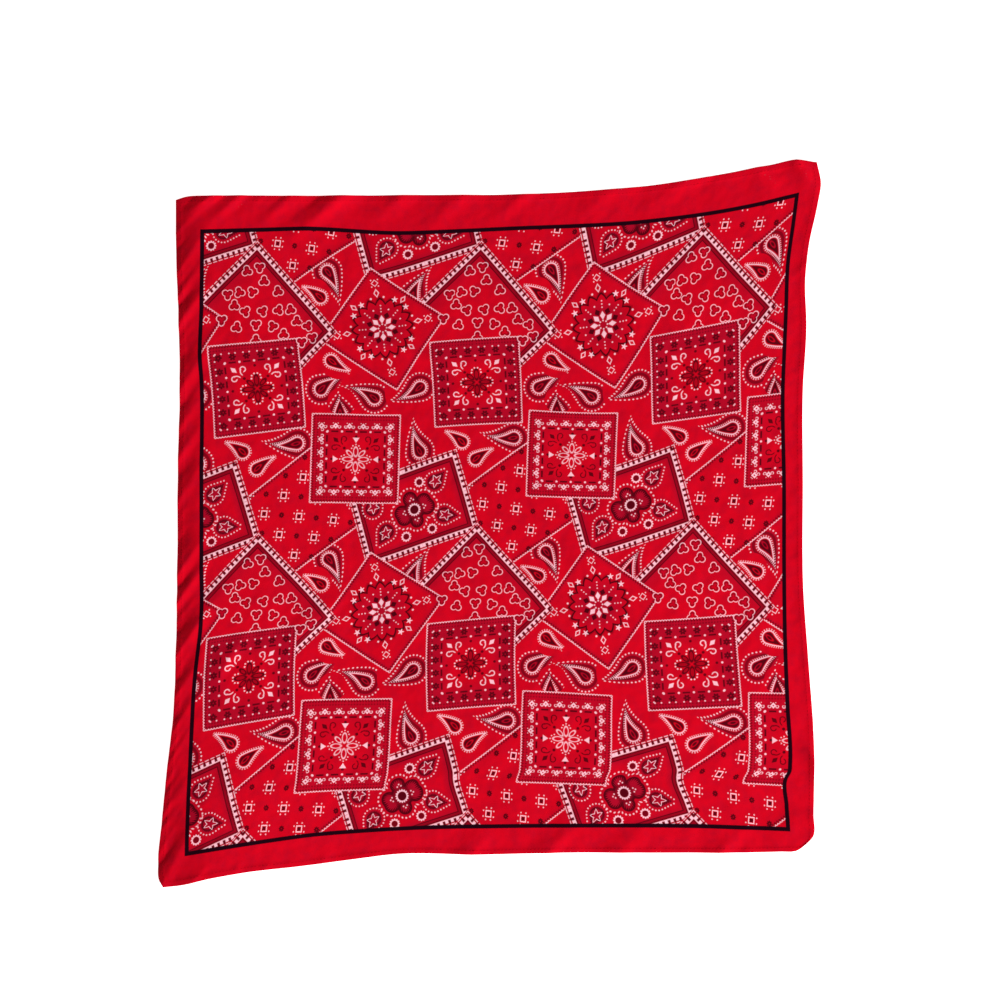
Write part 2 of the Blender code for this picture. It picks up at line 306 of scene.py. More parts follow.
# Finer creases between and across them, ridges and troughs, in the same order.
FINE_CREASES = tuple(Crease(*row) for row in (
    # Upper left corner and along the top edge.
    (-221, 266, 219, 44, 5, 0.9), (-241, 266, 226, 26, 6, -0.8), (-196, 267, 231, 34, 4, -0.9),
    (-183, 268, 228, 30, 4, 0.8), (-168, 267, 222, 36, 4, -1.0), (-150, 268, 214, 36, 5, 0.4),
    (-137, 268, 216, 58, 6, -1.2), (-104, 268, 224, 34, 5, 0.8), (-92, 269, 218, 40, 4, -0.8),
    (-58, 269, 226, 36, 5, 0.8), (-44, 269, 219, 30, 4, -0.7), (-8, 269, 224, 34, 5, 0.7),
    (8, 269, 217, 28, 4, -0.7), (48, 270, 223, 38, 5, 0.8), (66, 271, 219, 30, 5, -0.6),
    (118, 275, 222, 34, 5, 0.8), (134, 277, 214, 26, 4, -0.6), (176, 283, 220, 32, 5, 0.8),
    (200, 288, 226, 30, 5, -0.7), (236, 293, 308, 30, 5, 0.9), (225, 291, 318, 34, 5, -0.8),
    # Down the left edge, closer together towards its foot.
    (-255, 237, 47, 44, 5, 0.9), (-255, 222, 50, 30, 4, -0.8), (-254, 196, 52, 38, 5, 1.0),
    (-253, 176, 52, 30, 4, -0.9), (-252, 149, 55, 40, 5, 0.9), (-252, 133, 52, 34, 5, -0.8),
    (-251, 121, 56, 30, 4, 0.8), (-252, 94, 54, 40, 5, -0.8), (-253, 64, 57, 30, 4, 0.7),
    (-253, 38, 54, 32, 5, -0.7), (-253, 5, 56, 34, 5, 0.8), (-253, -14, 52, 28, 4, -0.7),
    (-254, -30, 57, 34, 5, 0.8), (-254, -54, 55, 36, 4, -0.9), (-254, -78, 53, 40, 5, 0.9),
    (-255, -92, 56, 34, 4, -0.9), (-256, -121, 57, 44, 5, 1.0), (-257, -132, 54, 32, 4, -0.9),
    (-258, -153, 58, 40, 5, 1.0), (-259, -164, 55, 30, 4, -0.9), (-261, -183, 57, 44, 5, 1.1),
    (-262, -207, 59, 42, 5, 1.0), (-263, -216, 56, 34, 4, -1.0), (-265, -234, 58, 46, 5, 1.1),
    (-266, -243, 55, 40, 4, -1.1), (-268, -264, 60, 52, 6, 1.1), (-268, -276, 57, 44, 5, -1.2),
    # Along the bottom and the right edge.
    (-246, -293, 44, 40, 6, 1.0), (-214, -288, 50, 34, 6, 0.7), (-186, -282, 47, 30, 5, 0.7),
    (-140, -277, 52, 36, 6, 0.7), (-98, -272, 46, 30, 6, 0.6), (-6, -270, 52, 44, 6, 0.7),
    (22, -269, 45, 34, 5, -0.5), (62, -269, 50, 46, 7, 0.7), (128, -269, 47, 38, 6, 0.6),
    (152, -268, 43, 30, 5, -0.5), (206, -268, 48, 34, 6, 0.7), (262, -225, 152, 30, 6, 0.8),
    (263, -160, 140, 34, 6, 0.7), (259, -112, 146, 26, 5, 0.6), (255, -30, 138, 30, 6, 0.6),
    (255, 60, 220, 26, 6, 0.6), (257, 130, 216, 30, 6, 0.7), (259, 214, 222, 34, 6, 0.8),
    # Faint ones across the printed field.
    (-143, 168, -5, 50, 5, 0.5, 0.3), (-93, 163, -20, 70, 6, 0.6, 0.3), (-170, -94, 45, 50, 6, 0.8, 0.4),
    (-132, -100, 50, 80, 6, 0.7, 0.4), (-54, -92, 128, 28, 9, -0.9, 0.4),
    (-66, -122, 24, 34, 8, -0.8, 0.4), (-225, 150, 40, 46, 7, 0.6, 0.4), (-214, 40, 48, 60, 8, 0.6, 0.4),
    (-60, 90, 35, 70, 9, 0.5, 0.4), (40, 30, 52, 80, 10, 0.5, 0.4), (120, 130, 40, 70, 9, 0.5, 0.4),
    (150, -60, 48, 80, 9, 0.5, 0.4), (20, -150, 44, 70, 9, 0.5, 0.4), (190, -190, 46, 56, 8, 0.6, 0.4),
    (-120, -220, 50, 60, 8, 0.6, 0.4),
))


@dataclass(frozen=True)
class Lie:
    """How high the cloth's underside lies above the floor."""

    main_scale: float = 1.3
    fine_scale: float = 0.95
    slant_start: float = -100.0  # y below which the left edge leans out
    edge_slant: float = 0.085
    swell: float = 5.2  # of the cloth beside its left edge, which lets the troughs show
    swell_rise: float = 24.0  # how far in from the edge it rises
    swell_end: float = 170.0  # how far in the cloth lies level again
    swell_fall: float = 140.0  # over what width it comes down to that
    low_start: float = -130.0  # y below which it rises higher and further in
    low_run: float = 120.0  # over what height it does so
    low_swell: float = 2.0
    low_rise: float = 18.0
    corner_rise: float = 1.5  # over the corner turned under
    level_reach: float = 20.0  # how far from that corner it stays so high
    down_reach: float = 36.0  # how far from it the rise ends

    def lift(self, plan: np.ndarray) -> np.ndarray:
        """Height of the underside in millimetres at points in plan.

        Args:
            plan: x and y in millimetres along the last axis.

        Returns:
            The heights, never below the floor.
        """
        x, y = plan[..., 0], plan[..., 1]
        away = np.hypot(x - LOWER_RIGHT.x, y - LOWER_RIGHT.y)
        corner = self.corner_rise * ease((self.down_reach - away) / (self.down_reach - self.level_reach))
        inward = x - UPPER_LEFT.x - self.edge_slant * np.minimum(y - self.slant_start, 0)
        low = ease((self.low_start - y) / self.low_run)
        short = 1 - np.clip(inward / (self.swell_rise + self.low_rise * low), 0, 1)
        swell = (self.swell + self.low_swell * low) * (1 - short * short)
        swell = swell * ease((self.swell_end - inward) / self.swell_fall)
        main = self.main_scale * sum(crease.lift(x, y) for crease in MAIN_CREASES)
        fine = self.fine_scale * sum(crease.lift(x, y) for crease in FINE_CREASES)
        return np.maximum(corner + swell + main + fine, 0)


@dataclass(frozen=True)
class Build:
    """Layers and widths of the sewn cloth, in millimetres."""

    width: float = 523.0
    length: float = 548.0
    face_ply: float = 0.3  # the one layer of the panel
    hem_rise: float = 0.36  # how much higher the face lies over the two turned layers
    hem_width: float = 5.4
    face_past: float = 1.6  # how far past the hem the face has come down from it
    face_run: float = 3.0  # over what width it comes down
    back_past: float = 1.4  # the same for its own back
    back_run: float = 2.8
    edge_round: float = 0.7  # how far in the fold of the outer edge rounds over
    edge_share: float = 0.18  # of the face's height that is left at the very edge
    stitch_line: float = 4.4  # from the outer edge
    groove_depth: float = 0.06  # that the stitches pull into the face
    groove_reach: float = 0.5

    def edge_distance(self, s: np.ndarray, t: np.ndarray) -> np.ndarray:
        """Find how far places on the cloth are from its nearest edge.

        Args:
            s: Fractions across the cloth.
            t: Fractions up the cloth, in the same shape.

        Returns:
            The distances in millimetres.
        """
        across = np.minimum(s, 1 - s) * self.width
        upward = np.minimum(t, 1 - t) * self.length
        return np.minimum(across, upward)

    def rounding(self, distance: np.ndarray) -> np.ndarray:
        """How far the fold of the outer edge has rounded up, from 0 at the edge to 1."""
        return np.sqrt(1 - (1 - np.clip(distance / self.edge_round, 0, 1)) ** 2)

    def face_height(self, distance: np.ndarray) -> np.ndarray:
        """Find how high the printed face lies above the underside.

        Args:
            distance: Millimetres from the nearest edge.

        Returns:
            The heights in millimetres.
        """
        on_hem = ease((self.hem_width + self.face_past - distance) / self.face_run)
        near_line = np.clip(1 - np.abs(distance - self.stitch_line) / self.groove_reach, 0, 1)
        height = self.face_ply + self.hem_rise * on_hem - self.groove_depth * near_line
        return height * (self.edge_share + (1 - self.edge_share) * self.rounding(distance))

    def back_height(self, distance: np.ndarray) -> np.ndarray:
        """Height of the face layer's own back above the underside of the whole cloth."""
        on_hem = ease((self.hem_width + self.back_past - distance) / self.back_run)
        return self.hem_rise * on_hem * self.rounding(distance)


LIE = Lie()
SEWN = Build()


class Edge(Enum):
    """The edges of the cloth."""

    BOTTOM = "bottom"
    TOP = "top"
    LEFT = "left"
    RIGHT = "right"

    @property
    def upright(self) -> bool:
        """Whether it runs up the cloth."""
        return self in (Edge.LEFT, Edge.RIGHT)

    @property
    def far(self) -> bool:
        """Whether it is the top or the right edge."""
        return self in (Edge.TOP, Edge.RIGHT)

    @property
    def length(self) -> float:
        """How long it is, in millimetres."""
        return SEWN.length if self.upright else SEWN.width

    def plan(self, along: np.ndarray, inward: np.ndarray) -> np.ndarray:
        """Find places beside the edge as the cloth lies.

        Args:
            along: Fractions of the edge, from its left or lower end.
            inward: Millimetres in from the edge, in the same shape.

        Returns:
            x and y in millimetres along a last axis.
        """
        share = inward / (SEWN.width if self.upright else SEWN.length)
        if self.far:
            share = 1 - share
        return CLOTH_EDGES.place(share, along) if self.upright else CLOTH_EDGES.place(along, share)


def fractions_across(near_edge: Sequence[float], spans: Sequence[tuple[float, float]],
                     length: float) -> np.ndarray:
    """Grid lines across the cloth, close together at both its hems.

    Args:
        near_edge: Distances of the first lines from each edge.
        spans: Where each further span ends and the spacing in it; the last ends at the far hem.
        length: The whole distance across.

    Returns:
        The lines as fractions of the length.
    """
    lines = list(near_edge)
    for end, step in spans:
        start = lines[-1]
        cells = max(1, round((end - start) / step))
        lines += [start + (end - start) * (cell + 1) / cells for cell in range(cells)]
    lines = lines[:-1] + [length - distance for distance in reversed(near_edge)]
    return np.array(lines) / length


# --------------------------------------------------------------------------
# Meshes
# --------------------------------------------------------------------------
def with_height(plan: np.ndarray, z: np.ndarray) -> np.ndarray:
    """Join places in plan and their heights into points."""
    return np.concatenate((plan, z[..., None]), axis=-1)


def grid_faces(rows: int, columns: int, offset: int = 0) -> np.ndarray:
    """Quads of a grid of points numbered row by row.

    Args:
        rows: Points up the grid.
        columns: Points across the grid.
        offset: Number of the first point.

    Returns:
        Four point numbers for each quad, anticlockwise from above.
    """
    first = (np.arange(rows - 1)[:, None] * columns + np.arange(columns - 1)[None]).ravel() + offset
    return np.stack((first, first + 1, first + columns + 1, first + columns), axis=1)


def rim_faces(rows: int, columns: int) -> np.ndarray:
    """Quads that join the rim of an upper grid to the lower grid numbered after it.

    Args:
        rows: Points up each grid.
        columns: Points across each grid.

    Returns:
        Four point numbers for each quad.
    """
    lower_row = np.arange(columns)
    right_column = np.arange(1, rows) * columns + columns - 1
    upper_row = (rows - 1) * columns + np.arange(columns - 2, -1, -1)
    left_column = np.arange(rows - 2, -1, -1) * columns
    loop = np.concatenate((lower_row, right_column, upper_row, left_column))
    below = loop + rows * columns
    return np.stack((loop[1:], loop[:-1], below[:-1], below[1:]), axis=1)


def tube_faces(tubes: int, rings: int, corners: int) -> list[list[int]]:
    """Faces of closed tubes whose points are numbered tube by tube and ring by ring.

    Args:
        tubes: How many there are.
        rings: Rings of points along each.
        corners: Points round each ring.

    Returns:
        Point numbers of each face: the walls, then the near and the far ends.
    """
    ring = np.arange(corners)
    tube = np.arange(tubes)[:, None] * rings * corners
    first = (tube + np.arange(rings - 1) * corners)[..., None]
    here, there = first + ring, first + (ring + 1) % corners
    walls = np.stack((here, there, there + corners, here + corners), axis=-1).reshape(-1, 4)
    near, far = tube + ring[::-1], tube + (rings - 1) * corners + ring
    return walls.tolist() + near.tolist() + far.tolist()


def make_object(name: str, points: np.ndarray, faces: list[list[int]],
                sharp: float = 60) -> bpy.types.Object:
    """Make a smooth shaded mesh object.

    Args:
        name: The piece's name.
        points: x, y and z of each point, in millimetres.
        faces: Point numbers of each face.
        sharp: Angle in degrees past which an edge stays sharp.

    Returns:
        The object, in the scene's collection.
    """
    mesh = bpy.data.meshes.new(name)
    mesh.from_pydata((points.reshape(-1, 3) * MM).tolist(), [], faces)
    mesh.shade_smooth()
    mesh.set_sharp_from_angle(angle=math.radians(sharp))
    made = bpy.data.objects.new(name, mesh)
    bpy.context.scene.collection.objects.link(made)
    return made


def shell_object(name: str, upper: np.ndarray, lower: np.ndarray) -> bpy.types.Object:
    """Close two grids of points, one over the other, into a thin shell.

    Args:
        name: The piece's name.
        upper: Points of the upper grid, in millimetres, by row and column.
        lower: Points of the lower grid, in the same order.

    Returns:
        The shell.
    """
    rows, columns = upper.shape[:2]
    faces = np.concatenate((
        grid_faces(rows, columns),
        grid_faces(rows, columns, rows * columns)[:, ::-1],
        rim_faces(rows, columns),
    ))
    return make_object(name, np.stack((upper, lower)), faces.tolist())


def write_map(piece: bpy.types.Object, name: str, upper: np.ndarray, lower: np.ndarray,
              rim: np.ndarray | None = None) -> None:
    """Give a shell a UV map from one place for each point of its two grids.

    Args:
        piece: The shell.
        name: The map's name.
        upper: Places of the upper grid's points, by row and column.
        lower: Places of the lower grid's points.
        rim: Places of the lower points as the rim's faces see them, if not the same.
    """
    corners = np.empty(len(piece.data.loops), np.int32)
    piece.data.loops.foreach_get("vertex_index", corners)
    places = np.concatenate((upper.reshape(-1, 2), lower.reshape(-1, 2)))[corners]
    if rim is not None:
        rows, columns = upper.shape[:2]
        of_rim = 4 * 2 * (rows + columns - 2)  # corners of its quads, which come last
        seen = np.concatenate((upper.reshape(-1, 2), rim.reshape(-1, 2)))
        places[-of_rim:] = seen[corners[-of_rim:]]
    layer = piece.data.uv_layers.new(name=name, do_init=False)
    layer.data.foreach_set("uv", places.astype(np.float32).ravel())


def dress(piece: bpy.types.Object, material: bpy.types.Material, slot: str, *nodes: str) -> None:
    """Give a piece its material and its place in the frame, and report it.

    Args:
        piece: The piece.
        material: Its finish.
        slot: Name of a material slot; not used.
        nodes: The solids that it stands for.
    """
    piece.data.materials.append(material)
    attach(piece, BODY)
    if nodes:
        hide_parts(*nodes)
    triangles = sum(len(polygon.vertices) - 2 for polygon in piece.data.polygons)
    LOG.info("%s: %d triangles", piece.name, triangles)


# --------------------------------------------------------------------------
# Finishes
# --------------------------------------------------------------------------
Value = bpy.types.NodeSocket | float | tuple | None
Output = bpy.types.NodeSocket | list[bpy.types.NodeSocket]
SOCKET_NAMES = {
    "base_colour": "Base Color",
    "roughness": "Roughness",
    "specular": "Specular IOR Level",
    "normal": "Normal",
    "glow": "Emission Color",
    "glow_strength": "Emission Strength",
}
# Loose fibres stand off cotton threads and scatter the light, so it is matt with hardly a gloss.
COTTON_ROUGHNESS = 0.85
COTTON_SPECULAR = 0.04


class Recipe:
    """The nodes of one material, added one after another."""

    def __init__(self, name: str) -> None:
        """Start a material with one Principled shader.

        Args:
            name: The material's name.
        """
        self.material = bpy.data.materials.new(name)
        self.material.use_nodes = True
        self.tree = self.material.node_tree
        self.shader = self.tree.nodes["Principled BSDF"]

    def add(self, kind: str, *inputs: Value, **settings: object) -> Output:
        """Add a node with its settings and links.

        Args:
            kind: A node type without its prefix, or in capitals an operation of the Math node.
            inputs: A link, a value or None for each input that the settings leave in use.
            settings: Properties of the node.

        Returns:
            The node's output in use, or a list where it has several.
        """
        sums = kind.isupper()
        node = self.tree.nodes.new("ShaderNodeMath" if sums else "ShaderNode" + kind)
        if sums:
            node.operation = kind
        for name, value in settings.items():
            setattr(node, name, value)
        for socket, value in zip([s for s in node.inputs if s.enabled], inputs):
            if isinstance(value, bpy.types.NodeSocket):
                self.tree.links.new(value, socket)
            elif value is not None:
                socket.default_value = value
        outputs = [s for s in node.outputs if s.enabled]
        return outputs[0] if len(outputs) == 1 else outputs

    def finish(self, **sockets: Value) -> bpy.types.Material:
        """Set or link the shader's sockets.

        Args:
            sockets: A value or a link for each socket, by its short name.

        Returns:
            The material.
        """
        for name, value in sockets.items():
            socket = self.shader.inputs[SOCKET_NAMES[name]]
            if isinstance(value, bpy.types.NodeSocket):
                self.tree.links.new(value, socket)
            else:
                socket.default_value = value
        return self.material


@dataclass(frozen=True)
class PlainCotton:
    """Cotton, woven plain or spun to thread and dyed: one flat red, its fuzz as fine bumps."""

    name: str
    colour: str
    grain: float = 1400.0  # bumps in a metre, about two threads to each
    grain_height: float = 0.1

    def make(self) -> bpy.types.Material:
        """Build the material.

        Returns:
            The cotton in its colour.
        """
        recipe = Recipe(self.name)
        own_place = recipe.add("TexCoord")[3]  # in the piece's own metres
        fuzz, _ = recipe.add("TexNoise", own_place, self.grain, 2.0, 0.5)
        bumps = recipe.add("Bump", 0.5, self.grain_height * MM, None, fuzz)
        return recipe.finish(base_colour=linear(self.colour), roughness=COTTON_ROUGHNESS,
                             specular=COTTON_SPECULAR, normal=bumps)


@dataclass(frozen=True)
class OpalAcrylic:
    """Opal acrylic, cast, lit from below: an even white on which hardly a shadow shows."""

    white: float = 0.95
    glow: float = 0.9

    def make(self) -> bpy.types.Material:
        """Build the material."""
        grey = (self.white, self.white, self.white, 1)
        return Recipe("opal_acrylic").finish(base_colour=grey, roughness=1.0, specular=0.0,
                                             glow=(1, 1, 1, 1), glow_strength=self.glow)


HEM_COTTON = PlainCotton("hem_cotton", "#BE001A")
REVERSE_COTTON = PlainCotton("reverse_cotton", "#BE2638")  # less of the dye came through
SEWING_THREAD = PlainCotton("sewing_thread", "#BE0017")


# --------------------------------------------------------------------------
# The print: a patchwork of bandana motifs, in millimetres of the cloth
# --------------------------------------------------------------------------
REPEAT_X = 178.8
REPEAT_Y = 231.3
PRINT_WIDTH = 474.0
PRINT_HEIGHT = 484.0
PRINT_MAP = "print_mm"
FRAME_MAP = "frame_mm"
SIDE_MAP = "cloth_side"  # 0 on the printed side, 1 on the reverse
BAKE_MAP = "OFBake"
BLEED = 0.55  # how softly an ink edge ends
THREAD_PITCH = 0.9  # of one thread over and the next under, a little coarser than life
NOWHERE = (-900.0, -900.0, 0.0)  # a frame so far off that nothing is drawn in it
NO_SHAPE = 900.0  # distance to a shape that a patch does not have
NO_INK = 0.0  # and cover of such an ink

BRIGHT_RED = "#CD001A"
REVERSE_RED = "#C22433"
CRIMSON = "#920726"
DARK_INK = "#42000B"
WHITE_INK = "#FFC8D4"
BLACK_INK = "#1C000C"
WHITE_COVER = 0.88  # the red ground shows through the white a little


class Pull(NamedTuple):
    """A soft pull of the weave that carries the print along by dx and dy."""

    x: float
    y: float
    reach: float
    dx: float
    dy: float

    def shift(self, places: np.ndarray) -> np.ndarray:
        """How far it carries each place, in millimetres."""
        away = np.hypot(places[..., 0] - self.x, places[..., 1] - self.y) / self.reach
        return np.exp(-away * away)[..., None] * np.array((self.dx, self.dy))


# The cloth was printed and hemmed a little off its grain, and lies a little skewed.
WEAVE_PULLS = (
    Pull(110, 285, 95, 3.2, 0.0), Pull(330, 75, 115, -4.2, 0.0), Pull(400, 210, 70, -2.4, 0.0),
    Pull(100, 490, 60, -2.2, 0.0), Pull(390, 490, 70, -2.4, 0.0), Pull(240, 490, 60, -1.6, 0.0),
    Pull(10, 150, 85, 0.0, 5.0), Pull(240, 130, 115, 0.0, 5.0), Pull(190, 320, 75, 0.0, 2.8),
    Pull(325, 375, 70, 0.0, -3.8), Pull(465, 345, 65, 0.0, -2.8), Pull(5, 430, 40, 0.0, 2.2),
    Pull(120, 120, 60, 0.0, 1.2), Pull(290, 180, 50, 0.0, 1.2), Pull(240, -10, 90, 0.0, -1.6),
)


class Motif(NamedTuple):
    """Where a motif lies in the repeat, and how far it is turned, in degrees."""

    x: float
    y: float
    turn: float = 0.0


class Paisley(NamedTuple):
    """A drop that hooks to its left or right; a large one has an outer ring of dots."""

    x: float
    y: float
    turn: float
    large: bool = True
    left: bool = False
    reach: float = 21.5
    ahead: float = 8.5


PAISLEYS = (
    Paisley(94.7, 124.4, 45.6), Paisley(138.3, 117.0, 139.3, left=True), Paisley(175.9, 124.7, 222),
    Paisley(75.0, 81.9, 192), Paisley(175.6, 71.6, 121), Paisley(101.6, 219.0, -49.5),
    Paisley(169.3, 199.8, 79),
    Paisley(104.5, 147.3, -42, False, True, 12.5, 5.0), Paisley(32.3, 78.3, 133.7, False, True, 12.5, 5.0),
    Paisley(43.2, 64.4, 43.2, False, False, 12.5, 5.0), Paisley(96.0, 198.2, 136.4, False, True, 12.5, 5.0),
    Paisley(110.0, 103.5, 97, reach=11.5, ahead=11.0),
)
CLOVERS = (
    Motif(36.6, 219.6, 100), Motif(46.8, 222.6, 150), Motif(50.5, 211.6, 90),
    Motif(21.0, 201.0, 30), Motif(30.6, 202.6, 110), Motif(41.2, 203.0, 130),
    Motif(61.8, 203.2, 100), Motif(26.6, 192.4, 90), Motif(35.4, 187.6, 50),
    Motif(49.4, 187.8, 50), Motif(62.2, 188.4, 70), Motif(72.0, 188.4, 100),
    Motif(28.9, 175.6, 80), Motif(44.4, 177.4, 270), Motif(58.0, 175.8, 0),
    Motif(77.2, 179.2, 90), Motif(85.9, 175.2, 60), Motif(66.8, 169.2, 90),
    Motif(44.6, 165.4, 90), Motif(89.8, 166.0, 40), Motif(16.6, 181.4, 30), Motif(81.4, 162.6, 150),
)
STRAY_CLOVERS = CLOVERS[-2:]  # they lie over the patches beside theirs
LEAVES = (Motif(10.0, 47.5, 45), Motif(18.4, 20.0, -5), Motif(-31.3, 7.4, 240), Motif(-41.8, 29.0, 60))
SUNS = (Motif(-3.8, 47.2), Motif(7.3, 9.3), Motif(-14.1, 3.9))
GARDEN = Motif(-9.0, 26.0, 16.5)
MEDALLION = Motif(146.3, 173.6, -33.9)
ROSETTE = Motif(146.3, 174.9, 11)

# Round lobes of the garden's flower about its middle: x, y and radius.
FLOWER_LOBES = (
    (10.4, 2.2, 6.8), (7.6, 6.8, 6.2), (2.4, -9.0, 5.6),
    (-10.4, -2.4, 6.2), (-8.0, -6.4, 6.4), (-3.8, 8.6, 6.0),
)
FLOWER_ROUND = 17.19  # radius at which the way round the flower is measured

# Ways across a patch: a place's x and y times the first two, and the third added.
LATTICE_ALONG = (0.814, 0.581, -78.0)
LATTICE_ASIDE = (-0.581, 0.814, 23.6)
LATTICE_ROWS = (0.04044, 0.02794, -2.754)  # counted in rows of diamonds
LATTICE_FILES = (0.03067, -0.03498, -0.527)
CLOVERS_UPPER = (0.7022, -0.7120, 139.0)
CLOVERS_LOWER = (-0.7071, 0.7071, -46.3)
CLOVERS_RIGHT = (-0.7478, -0.6639, 192.1)


@dataclass(frozen=True)
class Ricrac:
    """A fine wavy white line on a patch's edge, and dark teeth just inside it."""

    pitch: float = 2.3
    swing: float = 0.42
    half_width: float = 0.46
    teeth_start: float = 1.3
    teeth_end: float = 3.0
    teeth_slope: float = 1.5
    teeth_ink: float = 0.7
    past: float = 0.4  # how far outside the line's middle the patch starts


@dataclass(frozen=True)
class Ladder:
    """A woven band: white rungs with dark gaps, a dashed line outside, dark lines inside."""

    pitch: float = 4.6
    rung_reach: float = 1.5  # half the height of the rungs
    gap: float = 1.1  # half the width of a dark gap
    gap_out: float = 0.8  # how far outside the rungs' middle it lies
    gap_reach: float = 1.55
    dash_out: float = 3.0
    dash: float = 0.8  # half the length of a dash
    dash_half: float = 0.3
    band_in: float = 3.5
    band_reach: float = 1.8
    stripe_pitch: float = 2.4
    stripe: float = 0.45
    past: float = 3.9  # how far outside the rungs' middle the patch starts


@dataclass(frozen=True)
class SquareDesign:
    """An upright square: where it lies, and what its two kinds don't share."""

    motif: Motif
    light: bool  # whether its florets and flower are white, and its leaves dark
    tone: float  # how crimson its ground is towards its edge
    leaf: float  # how far out its corner leaves lie
    petal: float  # half the length of its long petals
    tips: tuple[tuple[float, float], ...]  # dots round the tip of a long petal
    tip_radius: float


RICRAC = Ricrac()
LADDER = Ladder()
DARK_SQUARE = SquareDesign(
    motif=Motif(43.9, 127.7, 2.9), light=False, tone=0.6, leaf=24.4, petal=4.5,
    tips=((8.8, 3.8), (11.3, 3.4), (12.9, 1.3)), tip_radius=0.65,
)
LIGHT_SQUARE = SquareDesign(
    motif=Motif(122.2, 67.7, -2.1), light=True, tone=0.45, leaf=23.2, petal=4.0,
    tips=((9.4, 3.4), (11.6, 2.4), (12.8, 0)), tip_radius=0.5,
)


class BandanaPrint(Recipe):
    """Pigment-printed cotton: white and dark inks drawn on two reds.

    The inks lie on the threads, so they are as matt as the bare cotton, and their
    edges bleed a little.  Each patch is drawn in its own frame as distances in
    millimetres to the edge of its white and its dark ink, and is then laid over the
    patches below it.  Bare numbers in a patch are such millimetres, for the places,
    radii and half widths of its marks, or strengths of its inks from 0 to 1.
    """

    def __init__(self, name: str) -> None:
        """Start the material with its places in the print, and no ink on them.

        Args:
            name: The material's name.
        """
        super().__init__(name)
        self.place = self.add("VectorMath", self.add("UVMap", uv_map=PRINT_MAP), (0, 0, 1), operation="ADD")
        self.inks: Value = (NO_INK, NO_INK, NO_INK)  # cover of the white, the dark and the crimson

    # ---- places
    def window(self, x: float, y: float) -> Value:
        """Bring the places into the one repeat that has (x, y) in its middle."""
        high, low = (x + REPEAT_X / 2, y + REPEAT_Y / 2, 2), (x - REPEAT_X / 2, y - REPEAT_Y / 2, 0)
        return self.add("VectorMath", self.place, high, low, operation="WRAP")

    def frame(self, motif: Motif, press: float = 1.0) -> Value:
        """Read the places in a motif's own frame, in its nearest repeat.

        Args:
            motif: The motif's place and turn.
            press: How much shorter the motif is printed than it is wide.

        Returns:
            Places from the motif's middle.
        """
        return self.add("Mapping", self.window(motif.x, motif.y), (motif.x, motif.y, 1),
                        (0, 0, math.radians(motif.turn)), (1, press, 1), vector_type="TEXTURE")

    def pick(self, near: Value, motifs: Sequence[Motif], reach: float) -> Value:
        """Read places in the frame of whichever motif they are near.

        Args:
            near: Places in the print, in one repeat.
            motifs: The motifs, of which a later one lies over an earlier one.
            reach: How far each reaches from its middle.

        Returns:
            Places from that motif's middle.
        """
        chosen = NOWHERE
        for motif in motifs:
            here = self.add("LESS_THAN", self.distance(near, motif.x, motif.y), reach)
            chosen = self.add("Mix", here, chosen, (motif.x, motif.y, math.radians(motif.turn)),
                              data_type="VECTOR")
        return self.turned(near, chosen)

    def turned(self, near: Value, chosen: Value) -> Value:
        """Read places in the frame given by a vector of x, y and turn."""
        x, y, turn = self.add("SeparateXYZ", chosen)
        return self.add("Mapping", near, self.add("CombineXYZ", x, y, 1.0),
                        self.add("CombineXYZ", 0.0, 0.0, turn), vector_type="TEXTURE")

    def distance(self, near: Value, x: float, y: float) -> Value:
        """Distance from a place in the print."""
        return self.add("VectorMath", near, (x, y, 1), operation="DISTANCE")

    def spoke(self, radius: Value, angle: Value) -> tuple[Value, Value]:
        """Turn a radius and an angle back into along and aside."""
        return (self.add("MULTIPLY", radius, self.add("COSINE", angle)),
                self.add("MULTIPLY", radius, self.add("SINE", angle)))

    # ---- shapes, as distances that are below nought inside
    def either(self, *shapes: Value) -> Value:
        """Distance to the nearest of several shapes."""
        return reduce(lambda joined, shape: self.add("MINIMUM", joined, shape), shapes)

    def within(self, *shapes: Value) -> Value:
        """Distance to what several shapes share."""
        return reduce(lambda joined, shape: self.add("MAXIMUM", joined, shape), shapes)

    def cut(self, shape: Value, hole: Value) -> Value:
        """Distance to a shape with a hole cut out of it."""
        return self.within(shape, self.add("MULTIPLY", hole, -1))

    def line(self, value: Value, half: float) -> Value:
        """Distance to a line that runs where the value is nought."""
        return self.add("SUBTRACT", self.add("ABSOLUTE", value), half)

    def inset(self, half: float, value: Value) -> Value:
        """How far inside half a width a value lies, on either side of nought."""
        return self.add("SUBTRACT", half, self.add("ABSOLUTE", value))

    def dot(self, spot: Value, x: float, y: float, radius: float) -> Value:
        """Distance to a round dot."""
        return self.add("SUBTRACT", self.add("VectorMath", spot, (x, y, 0), operation="DISTANCE"), radius)

    def oval(self, spot: Value, x: float, y: float, long: float, wide: float, turn: float = 0.0) -> Value:
        """Distance to an oval, roughly.

        Args:
            spot: Places to read.
            x: Across to its middle.
            y: Up to its middle.
            long: Half its length.
            wide: Half its width.
            turn: Its turn in degrees.

        Returns:
            The distance.
        """
        shrunk = self.add("Mapping", spot, (x, y, 0), (0, 0, math.radians(turn)), (long, wide, 1),
                          vector_type="TEXTURE")
        share = self.add("VectorMath", shrunk, operation="LENGTH")
        return self.add("MULTIPLY_ADD", share, wide, -wide)

    def lozenge(self, along: Value, aside: Value, long: float, wide: float) -> Value:
        """Distance to a lozenge of given half length and half width."""
        flat = self.add("MULTIPLY", self.add("ABSOLUTE", along), wide / long)
        return self.add("SUBTRACT", self.add("ADD", flat, self.add("ABSOLUTE", aside)), wide)

